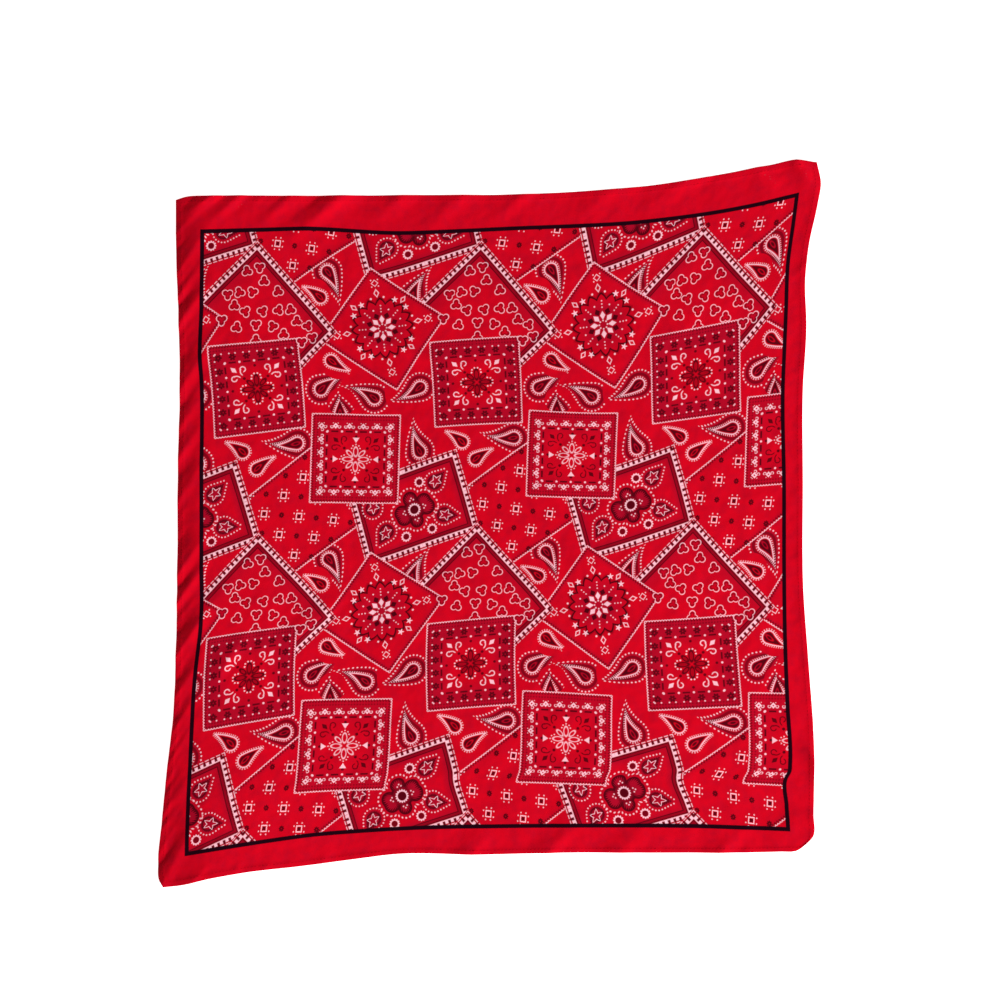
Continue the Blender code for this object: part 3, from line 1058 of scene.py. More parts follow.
    def beads(self, along: Value, aside: Value, pitch: float, radius: float) -> Value:
        """Distance to a row of dots that starts with one at nought."""
        spot = self.add("CombineXYZ", self.add("PINGPONG", along, pitch / 2), aside)
        return self.add("SUBTRACT", self.add("VectorMath", spot, operation="LENGTH"), radius)

    def lobed(self, spot: Value, lobes: int, radius: float, swing: float) -> Value:
        """Distance to a disc with a lobed edge.

        Args:
            spot: Places from its middle.
            lobes: How many lobes it has.
            radius: Of the disc between them.
            swing: How far out a lobe swings, or below nought how far in between points.

        Returns:
            The distance, roughly.
        """
        x, y, _ = self.add("SeparateXYZ", spot)
        half_turns = self.add("MULTIPLY", self.add("ARCTAN2", y, x), lobes / 2)
        wave = self.add("ABSOLUTE", self.add("COSINE", half_turns))
        reach = self.add("MULTIPLY_ADD", wave, swing, radius)
        return self.add("SUBTRACT", self.add("VectorMath", spot, operation="LENGTH"), reach)

    def drop(self, x: Value, aside: Value, radius: float, length: float) -> tuple[Value, Value]:
        """Distance to a drop, and the way along its outline.

        Args:
            x: From the middle of its round end towards its tip.
            aside: From its axis, never below nought.
            radius: Of its round end.
            length: From the middle of its round end to its tip.

        Returns:
            The distance and the way along.
        """
        taper = radius / length
        square = math.sqrt(1 - taper * taper)
        away = self.add("MULTIPLY_ADD", x, taper, self.add("MULTIPLY", aside, square))
        onward = self.add("MULTIPLY_ADD", x, square, self.add("MULTIPLY", aside, -taper))
        back = self.add("MINIMUM", onward, 0.0)
        length_out = self.add("VectorMath", self.add("CombineXYZ", away, back), operation="LENGTH")
        way = self.add("MULTIPLY_ADD", self.add("ARCTAN2", back, away), radius,
                       self.add("MAXIMUM", onward, 0.0))
        return self.add("SUBTRACT", length_out, radius), way

    # ---- inks, as how much of the cloth they cover
    def cover(self, distance: Value, strength: float = 1.0) -> Value:
        """Turn a distance into how much of the cloth the ink covers."""
        cover = self.add("MULTIPLY_ADD", distance, -1 / BLEED, 0.5, use_clamp=True)
        return cover if strength == 1 else self.add("MULTIPLY", cover, strength)

    def strongest(self, *inks: Value) -> Value:
        """Cover of several inks, one on another."""
        return reduce(lambda joined, ink: self.add("MAXIMUM", joined, ink), inks)

    def more(self, ink: Value, shape: Value, strength: float) -> Value:
        """Add a shape to an ink."""
        return self.strongest(ink, self.cover(shape, strength))

    def ramp(self, value: Value, full: float, none: float, strength: float = 1.0) -> Value:
        """Fall evenly from a strength to nought.

        Args:
            value: What it is read by.
            full: Where it is at its strength.
            none: Where it is nought.
            strength: The strength.

        Returns:
            The cover.
        """
        slope = 1 / (full - none)
        share = self.add("MULTIPLY_ADD", value, slope, -none * slope, use_clamp=True)
        return share if strength == 1 else self.add("MULTIPLY", share, strength)

    def lay(self, mask: Value, white: Value, dark: Value, tone: Value) -> None:
        """Lay a patch over the inks below it.

        Args:
            mask: Cover of the patch.
            white: Distance to its white ink.
            dark: Cover of its dark ink.
            tone: Its ground, from bright red at 0 to crimson at 1.
        """
        patch = self.add("CombineXYZ", self.cover(white), dark, tone)
        self.inks = self.add("Mix", mask, self.inks, patch, data_type="VECTOR")

    # ---- edges of the patches
    def ricrac(self, inside: Value, along: Value) -> tuple[Value, Value, Value]:
        """Draw a patch's edge as a fine wavy line.

        Args:
            inside: How far inside the middle of the line a place is.
            along: The way along the side.

        Returns:
            Distance to its white, cover of its dark, and cover of the patch.
        """
        wave = self.add("SINE", self.add("MULTIPLY", along, 2 * math.pi / RICRAC.pitch))
        white = self.line(self.add("MULTIPLY_ADD", wave, RICRAC.swing, inside), RICRAC.half_width)
        tooth = self.add("PINGPONG", along, RICRAC.pitch / 2)
        slope = self.add("MULTIPLY_ADD", tooth, RICRAC.teeth_slope, inside)
        teeth = self.within(self.add("SUBTRACT", slope, RICRAC.teeth_end),
                            self.add("SUBTRACT", RICRAC.teeth_start, inside))
        mask = self.cover(self.add("SUBTRACT", -RICRAC.past, inside))
        return white, self.cover(teeth, RICRAC.teeth_ink), mask

    def ladder(self, inside: Value, along: Value) -> tuple[Value, Value, Value]:
        """Draw the woven band round a patch.

        Args:
            inside: How far inside the middle of the rungs a place is.
            along: The way along the side.

        Returns:
            Distance to its white, cover of its dark, and cover of the patch.
        """
        rung = self.add("PINGPONG", along, LADDER.pitch / 2)
        notch = self.within(self.add("SUBTRACT", rung, LADDER.gap),
                            self.line(self.add("ADD", inside, LADDER.gap_out), LADDER.gap_reach))
        dash = self.within(self.line(self.add("ADD", inside, LADDER.dash_out), LADDER.dash_half),
                           self.add("SUBTRACT", LADDER.dash, rung))
        white = self.either(self.cut(self.line(inside, LADDER.rung_reach), notch), dash)
        band = self.line(self.add("SUBTRACT", inside, LADDER.band_in), LADDER.band_reach)
        stripes = self.add("SUBTRACT", self.add("PINGPONG", inside, LADDER.stripe_pitch / 2), LADDER.stripe)
        dark = self.more(self.cover(band, 0.45), self.within(band, stripes), 0.9)
        mask = self.cover(self.add("SUBTRACT", -LADDER.past, inside))
        return white, self.more(dark, notch, 0.8), mask

    # ---- the patches
    def paisleys(self) -> None:
        """Strew hairy drops on the red ground."""
        add = self.add
        near = self.window(10.5 + REPEAT_X / 2, 30 + REPEAT_Y / 2)
        chosen, small, left = NOWHERE, 0.0, 0.0
        for paisley in PAISLEYS:
            heading = math.radians(paisley.turn)
            axis = heading + math.radians(14 if paisley.left else -14)
            middle = self.distance(near, paisley.x + paisley.ahead * math.cos(axis),
                                   paisley.y + paisley.ahead * math.sin(axis))
            here = add("LESS_THAN", middle, paisley.reach)
            chosen = add("Mix", here, chosen, (paisley.x, paisley.y, heading), data_type="VECTOR")
            small = small if paisley.large else add("ADD", small, here)
            left = add("ADD", left, here) if paisley.left else left
        # A drop's axis bends aside with the square of the way to its tip.
        x, y, _ = add("SeparateXYZ", self.turned(near, chosen))
        y = add("MULTIPLY", y, add("MULTIPLY_ADD", left, -2, 1))
        ahead = add("MAXIMUM", x, 0.0)
        aside = add("ABSOLUTE", add("MULTIPLY_ADD", add("MULTIPLY", ahead, ahead), 0.014, y))

        edge, way = self.drop(x, aside, radius=5.0, length=15.5)
        hairs = self.within(add("SUBTRACT", add("PINGPONG", way, 0.8), 0.24),
                            self.line(add("SUBTRACT", edge, 0.9), 0.9))
        glint = self.line(self.oval(add("CombineXYZ", x, aside), 0.8, 0, long=3.2, wide=1.2), 0.3)
        core = self.cut(add("ADD", edge, 1.3), glint)
        outer, way = self.drop(x, aside, radius=12.0, length=25.5)
        outer = add("MULTIPLY_ADD", small, 40, outer)  # a small one has no outer ring
        ring = self.beads(way, outer, pitch=2.9, radius=0.62)
        white = self.either(self.line(edge, 0.4), hairs, ring)
        dark = self.more(self.cover(core, 0.92), self.line(add("ADD", outer, 3.3), 1.1), 0.6)
        self.lay(1.0, white, dark, self.ramp(outer, full=-0.5, none=0.5, strength=0.5))

    def lattice(self) -> None:
        """Lay diamonds and small dark blossoms in rows."""
        add = self.add
        near = self.window(77.2, 26.1)
        along, aside, rows, files = (
            add("VectorMath", near, way, operation="DOT_PRODUCT")
            for way in (LATTICE_ALONG, LATTICE_ASIDE, LATTICE_ROWS, LATTICE_FILES)
        )
        inside = self.inset(37.2, aside)
        edge, dark, mask = self.ricrac(inside, along)
        # A quarter of the cell between four diamonds, with a blossom in its far corner.
        u = add("MULTIPLY", add("PINGPONG", rows, 0.5), 20.5)
        v = add("MULTIPLY", add("PINGPONG", files, 0.5), 21.6)
        square = self.lozenge(u, v, long=3.1, wide=3.1)
        pair = add("CombineXYZ", add("MAXIMUM", u, v), add("MINIMUM", u, v))
        white = self.either(edge, self.line(square, 0.55), self.dot(pair, 4.6, 1.6, 0.5))
        spot = add("VectorMath", add("CombineXYZ", u, v), (10.25, 10.8, 0), operation="SUBTRACT")
        blossom = self.cut(self.lobed(spot, lobes=8, radius=1.5, swing=0.9), self.dot(spot, 0, 0, 0.35))
        dark = self.more(dark, self.either(add("ADD", square, 1.3), blossom), 0.92)
        mask = add("MULTIPLY", mask, add("LESS_THAN", add("ABSOLUTE", along), 40.0))
        self.lay(mask, white, dark, self.ramp(inside, full=2.5, none=6.0, strength=0.35))

    def leaves(self, near: Value) -> tuple[Value, Value, Value]:
        """Draw the garden's beaded drops with a star-shaped leaf in each.

        Args:
            near: Places in the print, in one repeat.

        Returns:
            Distance to their white, cover of their dark, and distance to the drops.
        """
        add = self.add
        x, y, _ = add("SeparateXYZ", self.pick(near, LEAVES, 13.0))
        edge, way = self.drop(add("ADD", x, 1.5), add("ABSOLUTE", y), radius=8.4, length=16.0)
        blade = add("CombineXYZ", add("MULTIPLY", x, -0.8), y)
        star = self.line(self.lobed(blade, lobes=5, radius=4.6, swing=-2.4), 0.34)
        jagged = add("MULTIPLY_ADD", add("PINGPONG", way, 0.9), 1.2, edge)
        dark = self.cover(self.line(add("ADD", jagged, 2.9), 0.9), 0.8)
        return self.either(self.beads(way, edge, pitch=2.6, radius=0.55), star), dark, edge

    def suns(self, near: Value) -> tuple[Value, Value, Value]:
        """Draw the garden's small suns.

        Args:
            near: Places in the print, in one repeat.

        Returns:
            Distance to their white, cover of their dark, and distance to the suns.
        """
        sun = self.pick(near, SUNS, 5.0)
        radius = self.add("VectorMath", sun, operation="LENGTH")
        rays = self.lobed(sun, lobes=12, radius=3.2, swing=1.0)
        rays = self.within(rays, self.add("SUBTRACT", 2.6, radius))
        dark = self.cover(self.add("SUBTRACT", radius, 2.3), 0.75)
        return rays, dark, self.add("SUBTRACT", radius, 4.0)

    def lobed_flower(self, near: Value) -> tuple[Value, Value, Value]:
        """Draw the garden's lobed flower.

        Args:
            near: Places in the print, in one repeat.

        Returns:
            Distance to its white, cover of its dark, and distance to the flower.
        """
        add = self.add
        flower = add("VectorMath", near, (-7.8, 25.4, 1), operation="SUBTRACT")
        lobes = self.dot(flower, 0, 0, 8.9)
        for lobe in FLOWER_LOBES:
            lobes = add("SMOOTH_MIN", lobes, self.dot(flower, *lobe), 1.4)
        x, y, _ = add("SeparateXYZ", flower)
        angle = add("ARCTAN2", y, x)
        radius = add("VectorMath", flower, operation="LENGTH")
        way = add("MULTIPLY", angle, FLOWER_ROUND)

        beads = self.beads(way, add("SUBTRACT", lobes, 2.6), pitch=3.0, radius=0.66)
        halo = self.lobed(flower, lobes=16, radius=4.2, swing=1.1)
        halo = self.within(halo, add("SUBTRACT", 3.6, radius))
        arm = add("CombineXYZ", *self.spoke(radius, add("PINGPONG", add("ADD", angle, -0.3), math.pi / 4)))
        white = self.either(self.within(beads, add("SUBTRACT", 8.0, radius)), halo,
                            self.dot(arm, 9.6, 0, 0.55), self.dot(arm, 8.0, 1.5, 0.55))
        lace = add("MULTIPLY_ADD", add("PINGPONG", way, 1.0), 2.6, lobes)
        petals = self.within(lobes, add("SUBTRACT", -1.2, lace), add("SUBTRACT", 5.9, radius))
        dark = self.cover(self.either(petals, add("SUBTRACT", radius, 3.2)), 0.9)
        shade = add("MULTIPLY", self.ramp(radius, full=4.5, none=8.5, strength=0.5), self.cover(lobes))
        return white, self.strongest(dark, shade), lobes

    def garden(self) -> None:
        """Lay the lobed flower, its leaves and its suns in a ladder frame."""
        add = self.add
        near = self.window(GARDEN.x, GARDEN.y)
        x, y, _ = add("SeparateXYZ", self.frame(GARDEN))
        side, end = self.inset(44.9, x), self.inset(31.2, y)
        inside = add("MINIMUM", side, end)
        frame_white, frame_dark, mask = self.ladder(inside, add("MAXIMUM", side, end))
        leaf_white, leaf_dark, leaf = self.leaves(near)
        sun_white, sun_dark, sun = self.suns(near)
        flower_white, flower_dark, flower = self.lobed_flower(near)
        white = self.either(frame_white, leaf_white, sun_white, flower_white)
        dark = self.strongest(frame_dark, leaf_dark, sun_dark, flower_dark)

        busy = self.either(flower, leaf, sun)
        tone = self.strongest(
            self.ramp(inside, full=6.0, none=11.0, strength=0.5),
            self.ramp(busy, full=1.5, none=4.5, strength=0.3),
            self.ramp(self.either(flower, add("ADD", leaf, 1.5)), full=-0.5, none=0.5, strength=0.7),
        )
        self.lay(mask, white, dark, tone)

    def clover_patch(self) -> tuple[Value, Value, Value]:
        """Lay clovers strewn in a ladder frame.

        Returns:
            Cover of the patch, distance to the clovers and places near them.
        """
        add = self.add
        near = self.window(54.0, 190.0)
        upper, lower, right = (
            add("VectorMath", near, way, operation="DOT_PRODUCT")
            for way in (CLOVERS_UPPER, CLOVERS_LOWER, CLOVERS_RIGHT)
        )
        ends = add("MINIMUM", upper, lower)
        inside = add("MINIMUM", right, ends)
        white, dark, mask = self.ladder(inside, add("MAXIMUM", right, ends))
        clover = self.lobed(self.pick(near, CLOVERS, 5.4), lobes=3, radius=2.5, swing=2.1)
        dark = self.more(dark, self.line(add("ADD", clover, 1.5), 0.6), 0.55)
        mask = add("MULTIPLY", mask, add("LESS_THAN", right, 82.0))
        tone = self.ramp(inside, full=4.0, none=20.0, strength=0.5)
        self.lay(mask, self.either(white, self.line(clover, 0.3)), dark, tone)
        return mask, clover, near

    def medallion(self, guard: Value) -> None:
        """Lay the turned square with a rosette in it.

        Args:
            guard: Cover of the patch that its left corner is tucked under.
        """
        add = self.add
        x, y, _ = add("SeparateXYZ", self.frame(MEDALLION))
        side, end = self.inset(36.9, x), self.inset(35.8, y)
        inside = add("SMOOTH_MIN", side, end, 2.0)
        edge, dark, mask = self.ricrac(inside, add("MAXIMUM", side, end))
        hidden = add("MULTIPLY", add("LESS_THAN", add("ADD", x, y), 0.0), guard)
        mask = add("MULTIPLY", mask, add("SUBTRACT", 1.0, hidden))

        middle = self.frame(ROSETTE)
        x, y, _ = add("SeparateXYZ", middle)
        radius, angle = add("VectorMath", middle, operation="LENGTH"), add("ARCTAN2", y, x)
        rosette, rosette_dark = self.rosette(radius, add("ADD", angle, math.radians(4.6)))
        white = self.either(edge, self.signs(radius, angle), rosette)
        tone = self.strongest(self.ramp(inside, full=2.5, none=6.0, strength=0.45),
                              self.ramp(radius, full=12.0, none=26.0, strength=0.55))
        self.lay(mask, white, self.strongest(dark, rosette_dark), tone)

    def signs(self, radius: Value, angle: Value) -> Value:
        """Draw the small white signs round the rosette.

        Args:
            radius: From the rosette's middle.
            angle: About it, from a corner of the patch.

        Returns:
            Distance to them.
        """
        add = self.add
        # Towards the corners: two dots, a lozenge and a small square with four dots.
        fold = add("PINGPONG", angle, math.pi / 4)
        along, aside = self.spoke(radius, fold)
        spot = add("CombineXYZ", along, aside)
        gem = self.line(self.lozenge(add("SUBTRACT", along, 29.0), aside, long=3.0, wide=1.9), 0.4)
        tile = self.line(self.lozenge(add("SUBTRACT", along, 37.2), aside, long=2.6, wide=2.6), 0.4)
        dots = [self.dot(spot, *dot) for dot in ((25.0, 5.2, 0.8), (34.5, 2.7, 0.5), (39.9, 2.7, 0.5))]
        # Towards the sides: a lozenge between two stars.
        along, aside = self.spoke(radius, add("SUBTRACT", math.pi / 4, fold))
        seed = self.line(self.lozenge(add("SUBTRACT", along, 28.3), aside, long=2.8, wide=1.7), 0.4)
        star = add("VectorMath", add("CombineXYZ", along, aside), (24.6, 5.4, 0), operation="SUBTRACT")
        return self.either(gem, tile, *dots, seed, self.lobed(star, lobes=5, radius=2.7, swing=-1.6))

    def rosette(self, radius: Value, angle: Value) -> tuple[Value, Value]:
        """Draw eight white and eight black lozenges in a sixteen-pointed ring.

        Args:
            radius: From its middle.
            angle: About it, from the middle of a white lozenge.

        Returns:
            Distance to its white, and cover of its dark.
        """
        add = self.add
        fold = add("PINGPONG", angle, math.pi / 8)
        along, aside = self.spoke(radius, fold)
        gem = self.lozenge(add("SUBTRACT", along, 7.3), aside, long=3.3, wide=2.1)
        row = self.within(self.beads(add("SUBTRACT", along, 13.6), aside, pitch=2.5, radius=0.5),
                          self.line(add("SUBTRACT", along, 16.1), 3.2))
        heart = self.dot(add("CombineXYZ", along, aside), 3.3, 0, 0.6)
        along, aside = self.spoke(radius, add("SUBTRACT", math.pi / 8, fold))
        seed = self.lozenge(add("SUBTRACT", along, 10.7), aside, long=2.8, wide=2.4)
        white = self.either(gem, row, heart, self.dot(add("CombineXYZ", along, aside), 16.0, 0, 0.6))

        point = add("PINGPONG", angle, math.pi / 16)
        bulge = add("MULTIPLY", add("MULTIPLY_ADD", point, 40.0, 16.0), point)
        reach = add("ADD", bulge, add("SUBTRACT", radius, 24.6))
        dark = self.cover(self.either(self.line(reach, 0.95), seed), 0.95)
        shade = self.ramp(add("ABSOLUTE", add("SUBTRACT", reach, 0.8)), full=0.6, none=2.4, strength=0.4)
        return white, self.strongest(dark, shade)

    def square(self, design: SquareDesign) -> None:
        """Lay an upright square: rings of florets, dots and dashes round a flower.

        Args:
            design: Which of the two it is.
        """
        add = self.add
        x, y, _ = add("SeparateXYZ", self.frame(design.motif, press=0.93))
        side, end = self.inset(36.2, x), self.inset(38.3, add("SUBTRACT", y, 0.6))
        inside, along = add("SMOOTH_MIN", side, end, 2.0), add("MAXIMUM", side, end)
        edge, dark, mask = self.ricrac(inside, along)
        dark = self.more(dark, self.beads(along, add("SUBTRACT", inside, 4.6), pitch=2.3, radius=0.7), 0.5)

        # Its quarters and their halves mirror each other, so all is drawn in one eighth.
        far_x, far_y = add("ABSOLUTE", x), add("ABSOLUTE", y)
        outward, sideways = add("MAXIMUM", far_x, far_y), add("MINIMUM", far_x, far_y)
        floret_white, floret_dark = self.florets(outward, sideways, design)
        corner_white, corner_dark = self.corner_leaves(outward, sideways, design)
        flower_white, flower_dark = self.long_petals(outward, sideways, design)
        beads = self.beads(sideways, add("SUBTRACT", outward, 23.8), pitch=11.7, radius=0.85)
        white = self.either(edge, floret_white, beads, corner_white, flower_white)
        dark = self.strongest(dark, floret_dark, corner_dark, flower_dark)
        self.lay(mask, white, dark, self.ramp(outward, full=26.0, none=14.0, strength=design.tone))

    def florets(self, outward: Value, sideways: Value, design: SquareDesign) -> tuple[Value, Value]:
        """Draw a square's ring of florets.

        Args:
            outward: From the square's middle towards its side.
            sideways: Along that side from its middle.
            design: Which of the two squares it is.

        Returns:
            Distance to their white, and cover of their dark.
        """
        add = self.add
        across = add("SUBTRACT", 5.65, add("PINGPONG", sideways, 5.65))
        floret = add("CombineXYZ", across, add("SUBTRACT", outward, 28.4))
        if design.light:
            rise = add("SUBTRACT", outward, 28.6)
            core = self.cut(self.lozenge(across, rise, long=2.2, wide=2.5), self.dot(floret, 0, 0.2, 0.6))
            curl = self.within(self.line(self.dot(floret, 3.0, -0.6, 1.1), 0.3), add("SUBTRACT", rise, 0.1))
            return self.either(core, curl, self.dot(floret, 1.9, 2.6, 0.35)), NO_INK
        star = self.cut(self.lobed(floret, lobes=6, radius=1.7, swing=1.3), self.dot(floret, 0, 0, 0.5))
        return self.dot(floret, 2.5, 3.1, 0.6), self.cover(star, 0.85)

    def corner_leaves(self, outward: Value, sideways: Value, design: SquareDesign) -> tuple[Value, Value]:
        """Draw a leaf and scrolls towards a square's corners, and its dots and dashes.

        Args:
            outward: From the square's middle towards its side.
            sideways: Along that side from its middle.
            design: Which of the two squares it is.

        Returns:
            Distance to their white, and cover of their dark.
        """
        add = self.add
        spot = add("CombineXYZ", outward, sideways)
        to_corner = add("MULTIPLY_ADD", add("ADD", outward, sideways), 0.707, -design.leaf)
        leaf = self.lozenge(to_corner, add("MULTIPLY", add("SUBTRACT", outward, sideways), 0.707),
                            long=3.2, wide=1.9)
        scroll = self.cut(self.line(self.dot(spot, 17.4, 9.9, 2.1), 0.42), self.dot(spot, 15.5, 10.8, 1.3))
        stem = self.within(self.line(self.dot(spot, 15.6, 8.4, 3.7), 0.42),
                           add("SUBTRACT", 10.6, sideways), add("SUBTRACT", outward, 17.6))
        from_dash = add("SUBTRACT", 5.85, add("PINGPONG", sideways, 5.85))
        dash = self.within(add("SUBTRACT", from_dash, 2.9), self.line(add("SUBTRACT", outward, 23.8), 0.7))
        pips = self.either(self.dot(spot, 9.5, 9.5, 1.2), self.dot(spot, 19.6, 0, 1.1), dash)
        if design.light:
            return NO_SHAPE, self.cover(self.either(leaf, scroll, stem, pips), 0.9)
        return self.either(leaf, scroll, stem), self.cover(pips, 0.85)

    def long_petals(self, outward: Value, sideways: Value, design: SquareDesign) -> tuple[Value, Value]:
        """Draw a square's flower, with dots round the tips of its long petals.

        Args:
            outward: From the square's middle towards its side.
            sideways: Along that side from its middle.
            design: Which of the two squares it is.

        Returns:
            Distance to its white, and cover of its dark.
        """
        add = self.add
        spot = add("CombineXYZ", outward, sideways)
        petals = self.either(self.oval(spot, design.petal + 2.5, 0, long=design.petal, wide=1.8),
                             self.oval(spot, 5.0, 4.9, long=3.1, wide=1.4, turn=44))
        tips = [self.dot(spot, *tip, design.tip_radius) for tip in design.tips]
        if design.light:
            arrow = self.within(add("SUBTRACT", outward, 18.6),
                                add("MULTIPLY_ADD", outward, -0.64, add("ADD", sideways, 9.2)))
            return self.either(*tips, self.line(petals, 0.27), arrow), NO_INK
        return self.either(*tips), self.more(self.cover(petals, 0.4), self.line(petals, 0.5), 0.9)

    def strays(self, clover: Value, near: Value) -> None:
        """Lay the clovers that reach over the next patches on top of them.

        Args:
            clover: Distance to the clovers.
            near: Places near them.
        """
        reach = self.either(*(self.distance(near, stray.x, stray.y) for stray in STRAY_CLOVERS))
        mask = self.cover(self.add("SUBTRACT", clover, 0.4))
        mask = self.add("MULTIPLY", mask, self.add("LESS_THAN", reach, 5.0))
        dark = self.cover(self.line(self.add("ADD", clover, 1.5), 0.6), 0.55)
        self.lay(mask, self.line(clover, 0.36), dark, 0.4)

    # ---- the cloth
    def make(self) -> bpy.types.Material:
        """Lay the patches one over another and ink the cloth with them.

        Returns:
            The printed cotton.
        """
        self.paisleys()
        self.lattice()
        self.garden()
        guard, clover, near = self.clover_patch()
        self.medallion(guard)
        self.square(DARK_SQUARE)
        self.square(LIGHT_SQUARE)
        self.strays(clover, near)
        return self.finish(base_colour=self.colour(self.border()), roughness=COTTON_ROUGHNESS,
                           specular=COTTON_SPECULAR, normal=self.woven())

    def border(self) -> Value:
        """Leave the border outside the print plain.

        Returns:
            Cover of the black line round the print.
        """
        add = self.add
        x, y, _ = add("SeparateXYZ", add("UVMap", uv_map=FRAME_MAP))
        side = self.inset(PRINT_WIDTH / 2, add("SUBTRACT", x, PRINT_WIDTH / 2))
        end = self.inset(PRINT_HEIGHT / 2, add("SUBTRACT", y, PRINT_HEIGHT / 2))
        inside = add("MINIMUM", side, end)
        outside = self.cover(add("MULTIPLY", inside, -1))
        self.inks = add("Mix", outside, (NO_INK, NO_INK, NO_INK), self.inks, data_type="VECTOR")
        return self.cover(self.line(inside, 1.65))

    def colour(self, line: Value) -> Value:
        """Colour the cloth and the inks on it.

        Args:
            line: Cover of the black line.

        Returns:
            The colour.
        """
        add = self.add
        # Less ink comes through to the reverse side, on paler cloth.
        reverse, _, _ = add("SeparateXYZ", add("UVMap", uv_map=SIDE_MAP))
        inks = add("VectorMath", self.inks, add("MULTIPLY_ADD", reverse, -0.6, 1.0), operation="SCALE")
        white, dark, tone = add("SeparateXYZ", inks)
        # The red took the dye a little unevenly.
        cloud, _ = add("TexNoise", self.place, 0.11, 3.0, 0.6, noise_dimensions="2D")
        tone = self.strongest(tone, self.ramp(cloud, full=0.75, none=0.4, strength=0.3))
        white = add("MULTIPLY", white, WHITE_COVER)
        colour = add("Mix", reverse, linear(BRIGHT_RED), linear(REVERSE_RED), data_type="RGBA")
        for cover, ink in ((tone, CRIMSON), (dark, DARK_INK), (white, WHITE_INK), (line, BLACK_INK)):
            colour = add("Mix", cover, colour, linear(ink), data_type="RGBA")
        return colour

    def woven(self) -> Value:
        """Raise small wrinkles, and threads that cross over and under each other.

        Returns:
            The normal of the cloth with them.
        """
        add = self.add
        place = add("UVMap", uv_map=FRAME_MAP)
        wrinkles, _ = add("TexNoise", place, 0.04, 2.0, 0.5, noise_dimensions="2D")
        x, y, _ = add("SeparateXYZ", place)
        warp, weft = (add("SINE", add("MULTIPLY", way, 2 * math.pi / THREAD_PITCH)) for way in (x, y))
        height = add("MULTIPLY_ADD", wrinkles, 1.8, add("MULTIPLY", add("MULTIPLY", warp, weft), 0.04))
        return add("Bump", 1.0, MM, None, height)


# --------------------------------------------------------------------------
# The bandana's pieces
# --------------------------------------------------------------------------
@dataclass
class PrintedPanel:
    """The one square of cloth: its face runs out over the hems to the outer fold."""

    near_edge: tuple[float, ...] = (0.0, 0.12, 0.35, 0.7, 1.3, 2.4, 3.6, 4.1, 4.4, 4.7, 5.2, 5.7, 6.3)
    column_spans: tuple[tuple[float, float], ...] = ((45, 1.5), (120, 2.6), (400, 4.5), (516.7, 3.6))
    row_spans: tuple[tuple[float, float], ...] = ((290, 1.9), (480, 2.7), (541.7, 1.9))
    # Where the baking map holds the face, the underside and the rim.
    face_start: float = 0.012
    face_size: float = 0.73
    under_start: tuple[float, float] = (0.756, 0.008)
    under_size: float = 0.236
    rim_width: float = 0.004
    settling: int = 12  # rounds in which a place on the print is found from its place in plan

    def build(self) -> bpy.types.Object:
        """Build the shell and its maps.

        Returns:
            The panel.
        """
        columns = fractions_across(self.near_edge, self.column_spans, SEWN.width)
        rows = fractions_across(self.near_edge, self.row_spans, SEWN.length)
        s, t = np.meshgrid(columns, rows)
        plan = CLOTH_EDGES.place(s, t)
        lift = LIE.lift(plan)
        distance = SEWN.edge_distance(s, t)
        upper = with_height(plan, lift + SEWN.face_height(distance))
        lower = with_height(plan, lift + SEWN.back_height(distance))
        piece = shell_object("printed_panel", upper, lower)
        self.write_maps(piece, np.stack((s, t), axis=-1), plan)
        return piece

    def write_maps(self, piece: bpy.types.Object, fractions: np.ndarray, plan: np.ndarray) -> None:
        """Write the maps of the print, and one for baking.

        Args:
            piece: The panel.
            fractions: Of the way across and up the cloth of its grid's points.
            plan: Their places in plan.
        """
        face = self.face_start + self.face_size * fractions
        underside = np.array(self.under_start) + self.under_size * fractions
        on_edge = np.abs(fractions - 0.5) == 0.5
        outer = face + self.rim_width * (np.rint(fractions * 2 - 1) * on_edge)
        write_map(piece, BAKE_MAP, face, underside, outer)

        size = np.array((PRINT_WIDTH, PRINT_HEIGHT))
        framed = plan - np.array(PRINT_LOWER_LEFT)
        for _ in range(self.settling):
            share = framed / size
            framed = framed + plan - PRINT_EDGES.place(share[..., 0], share[..., 1])
        write_map(piece, FRAME_MAP, framed, framed)
        print_place = framed - sum(pull.shift(framed) for pull in WEAVE_PULLS)
        write_map(piece, PRINT_MAP, print_place, print_place)
        write_map(piece, SIDE_MAP, np.zeros_like(plan), np.ones_like(plan))


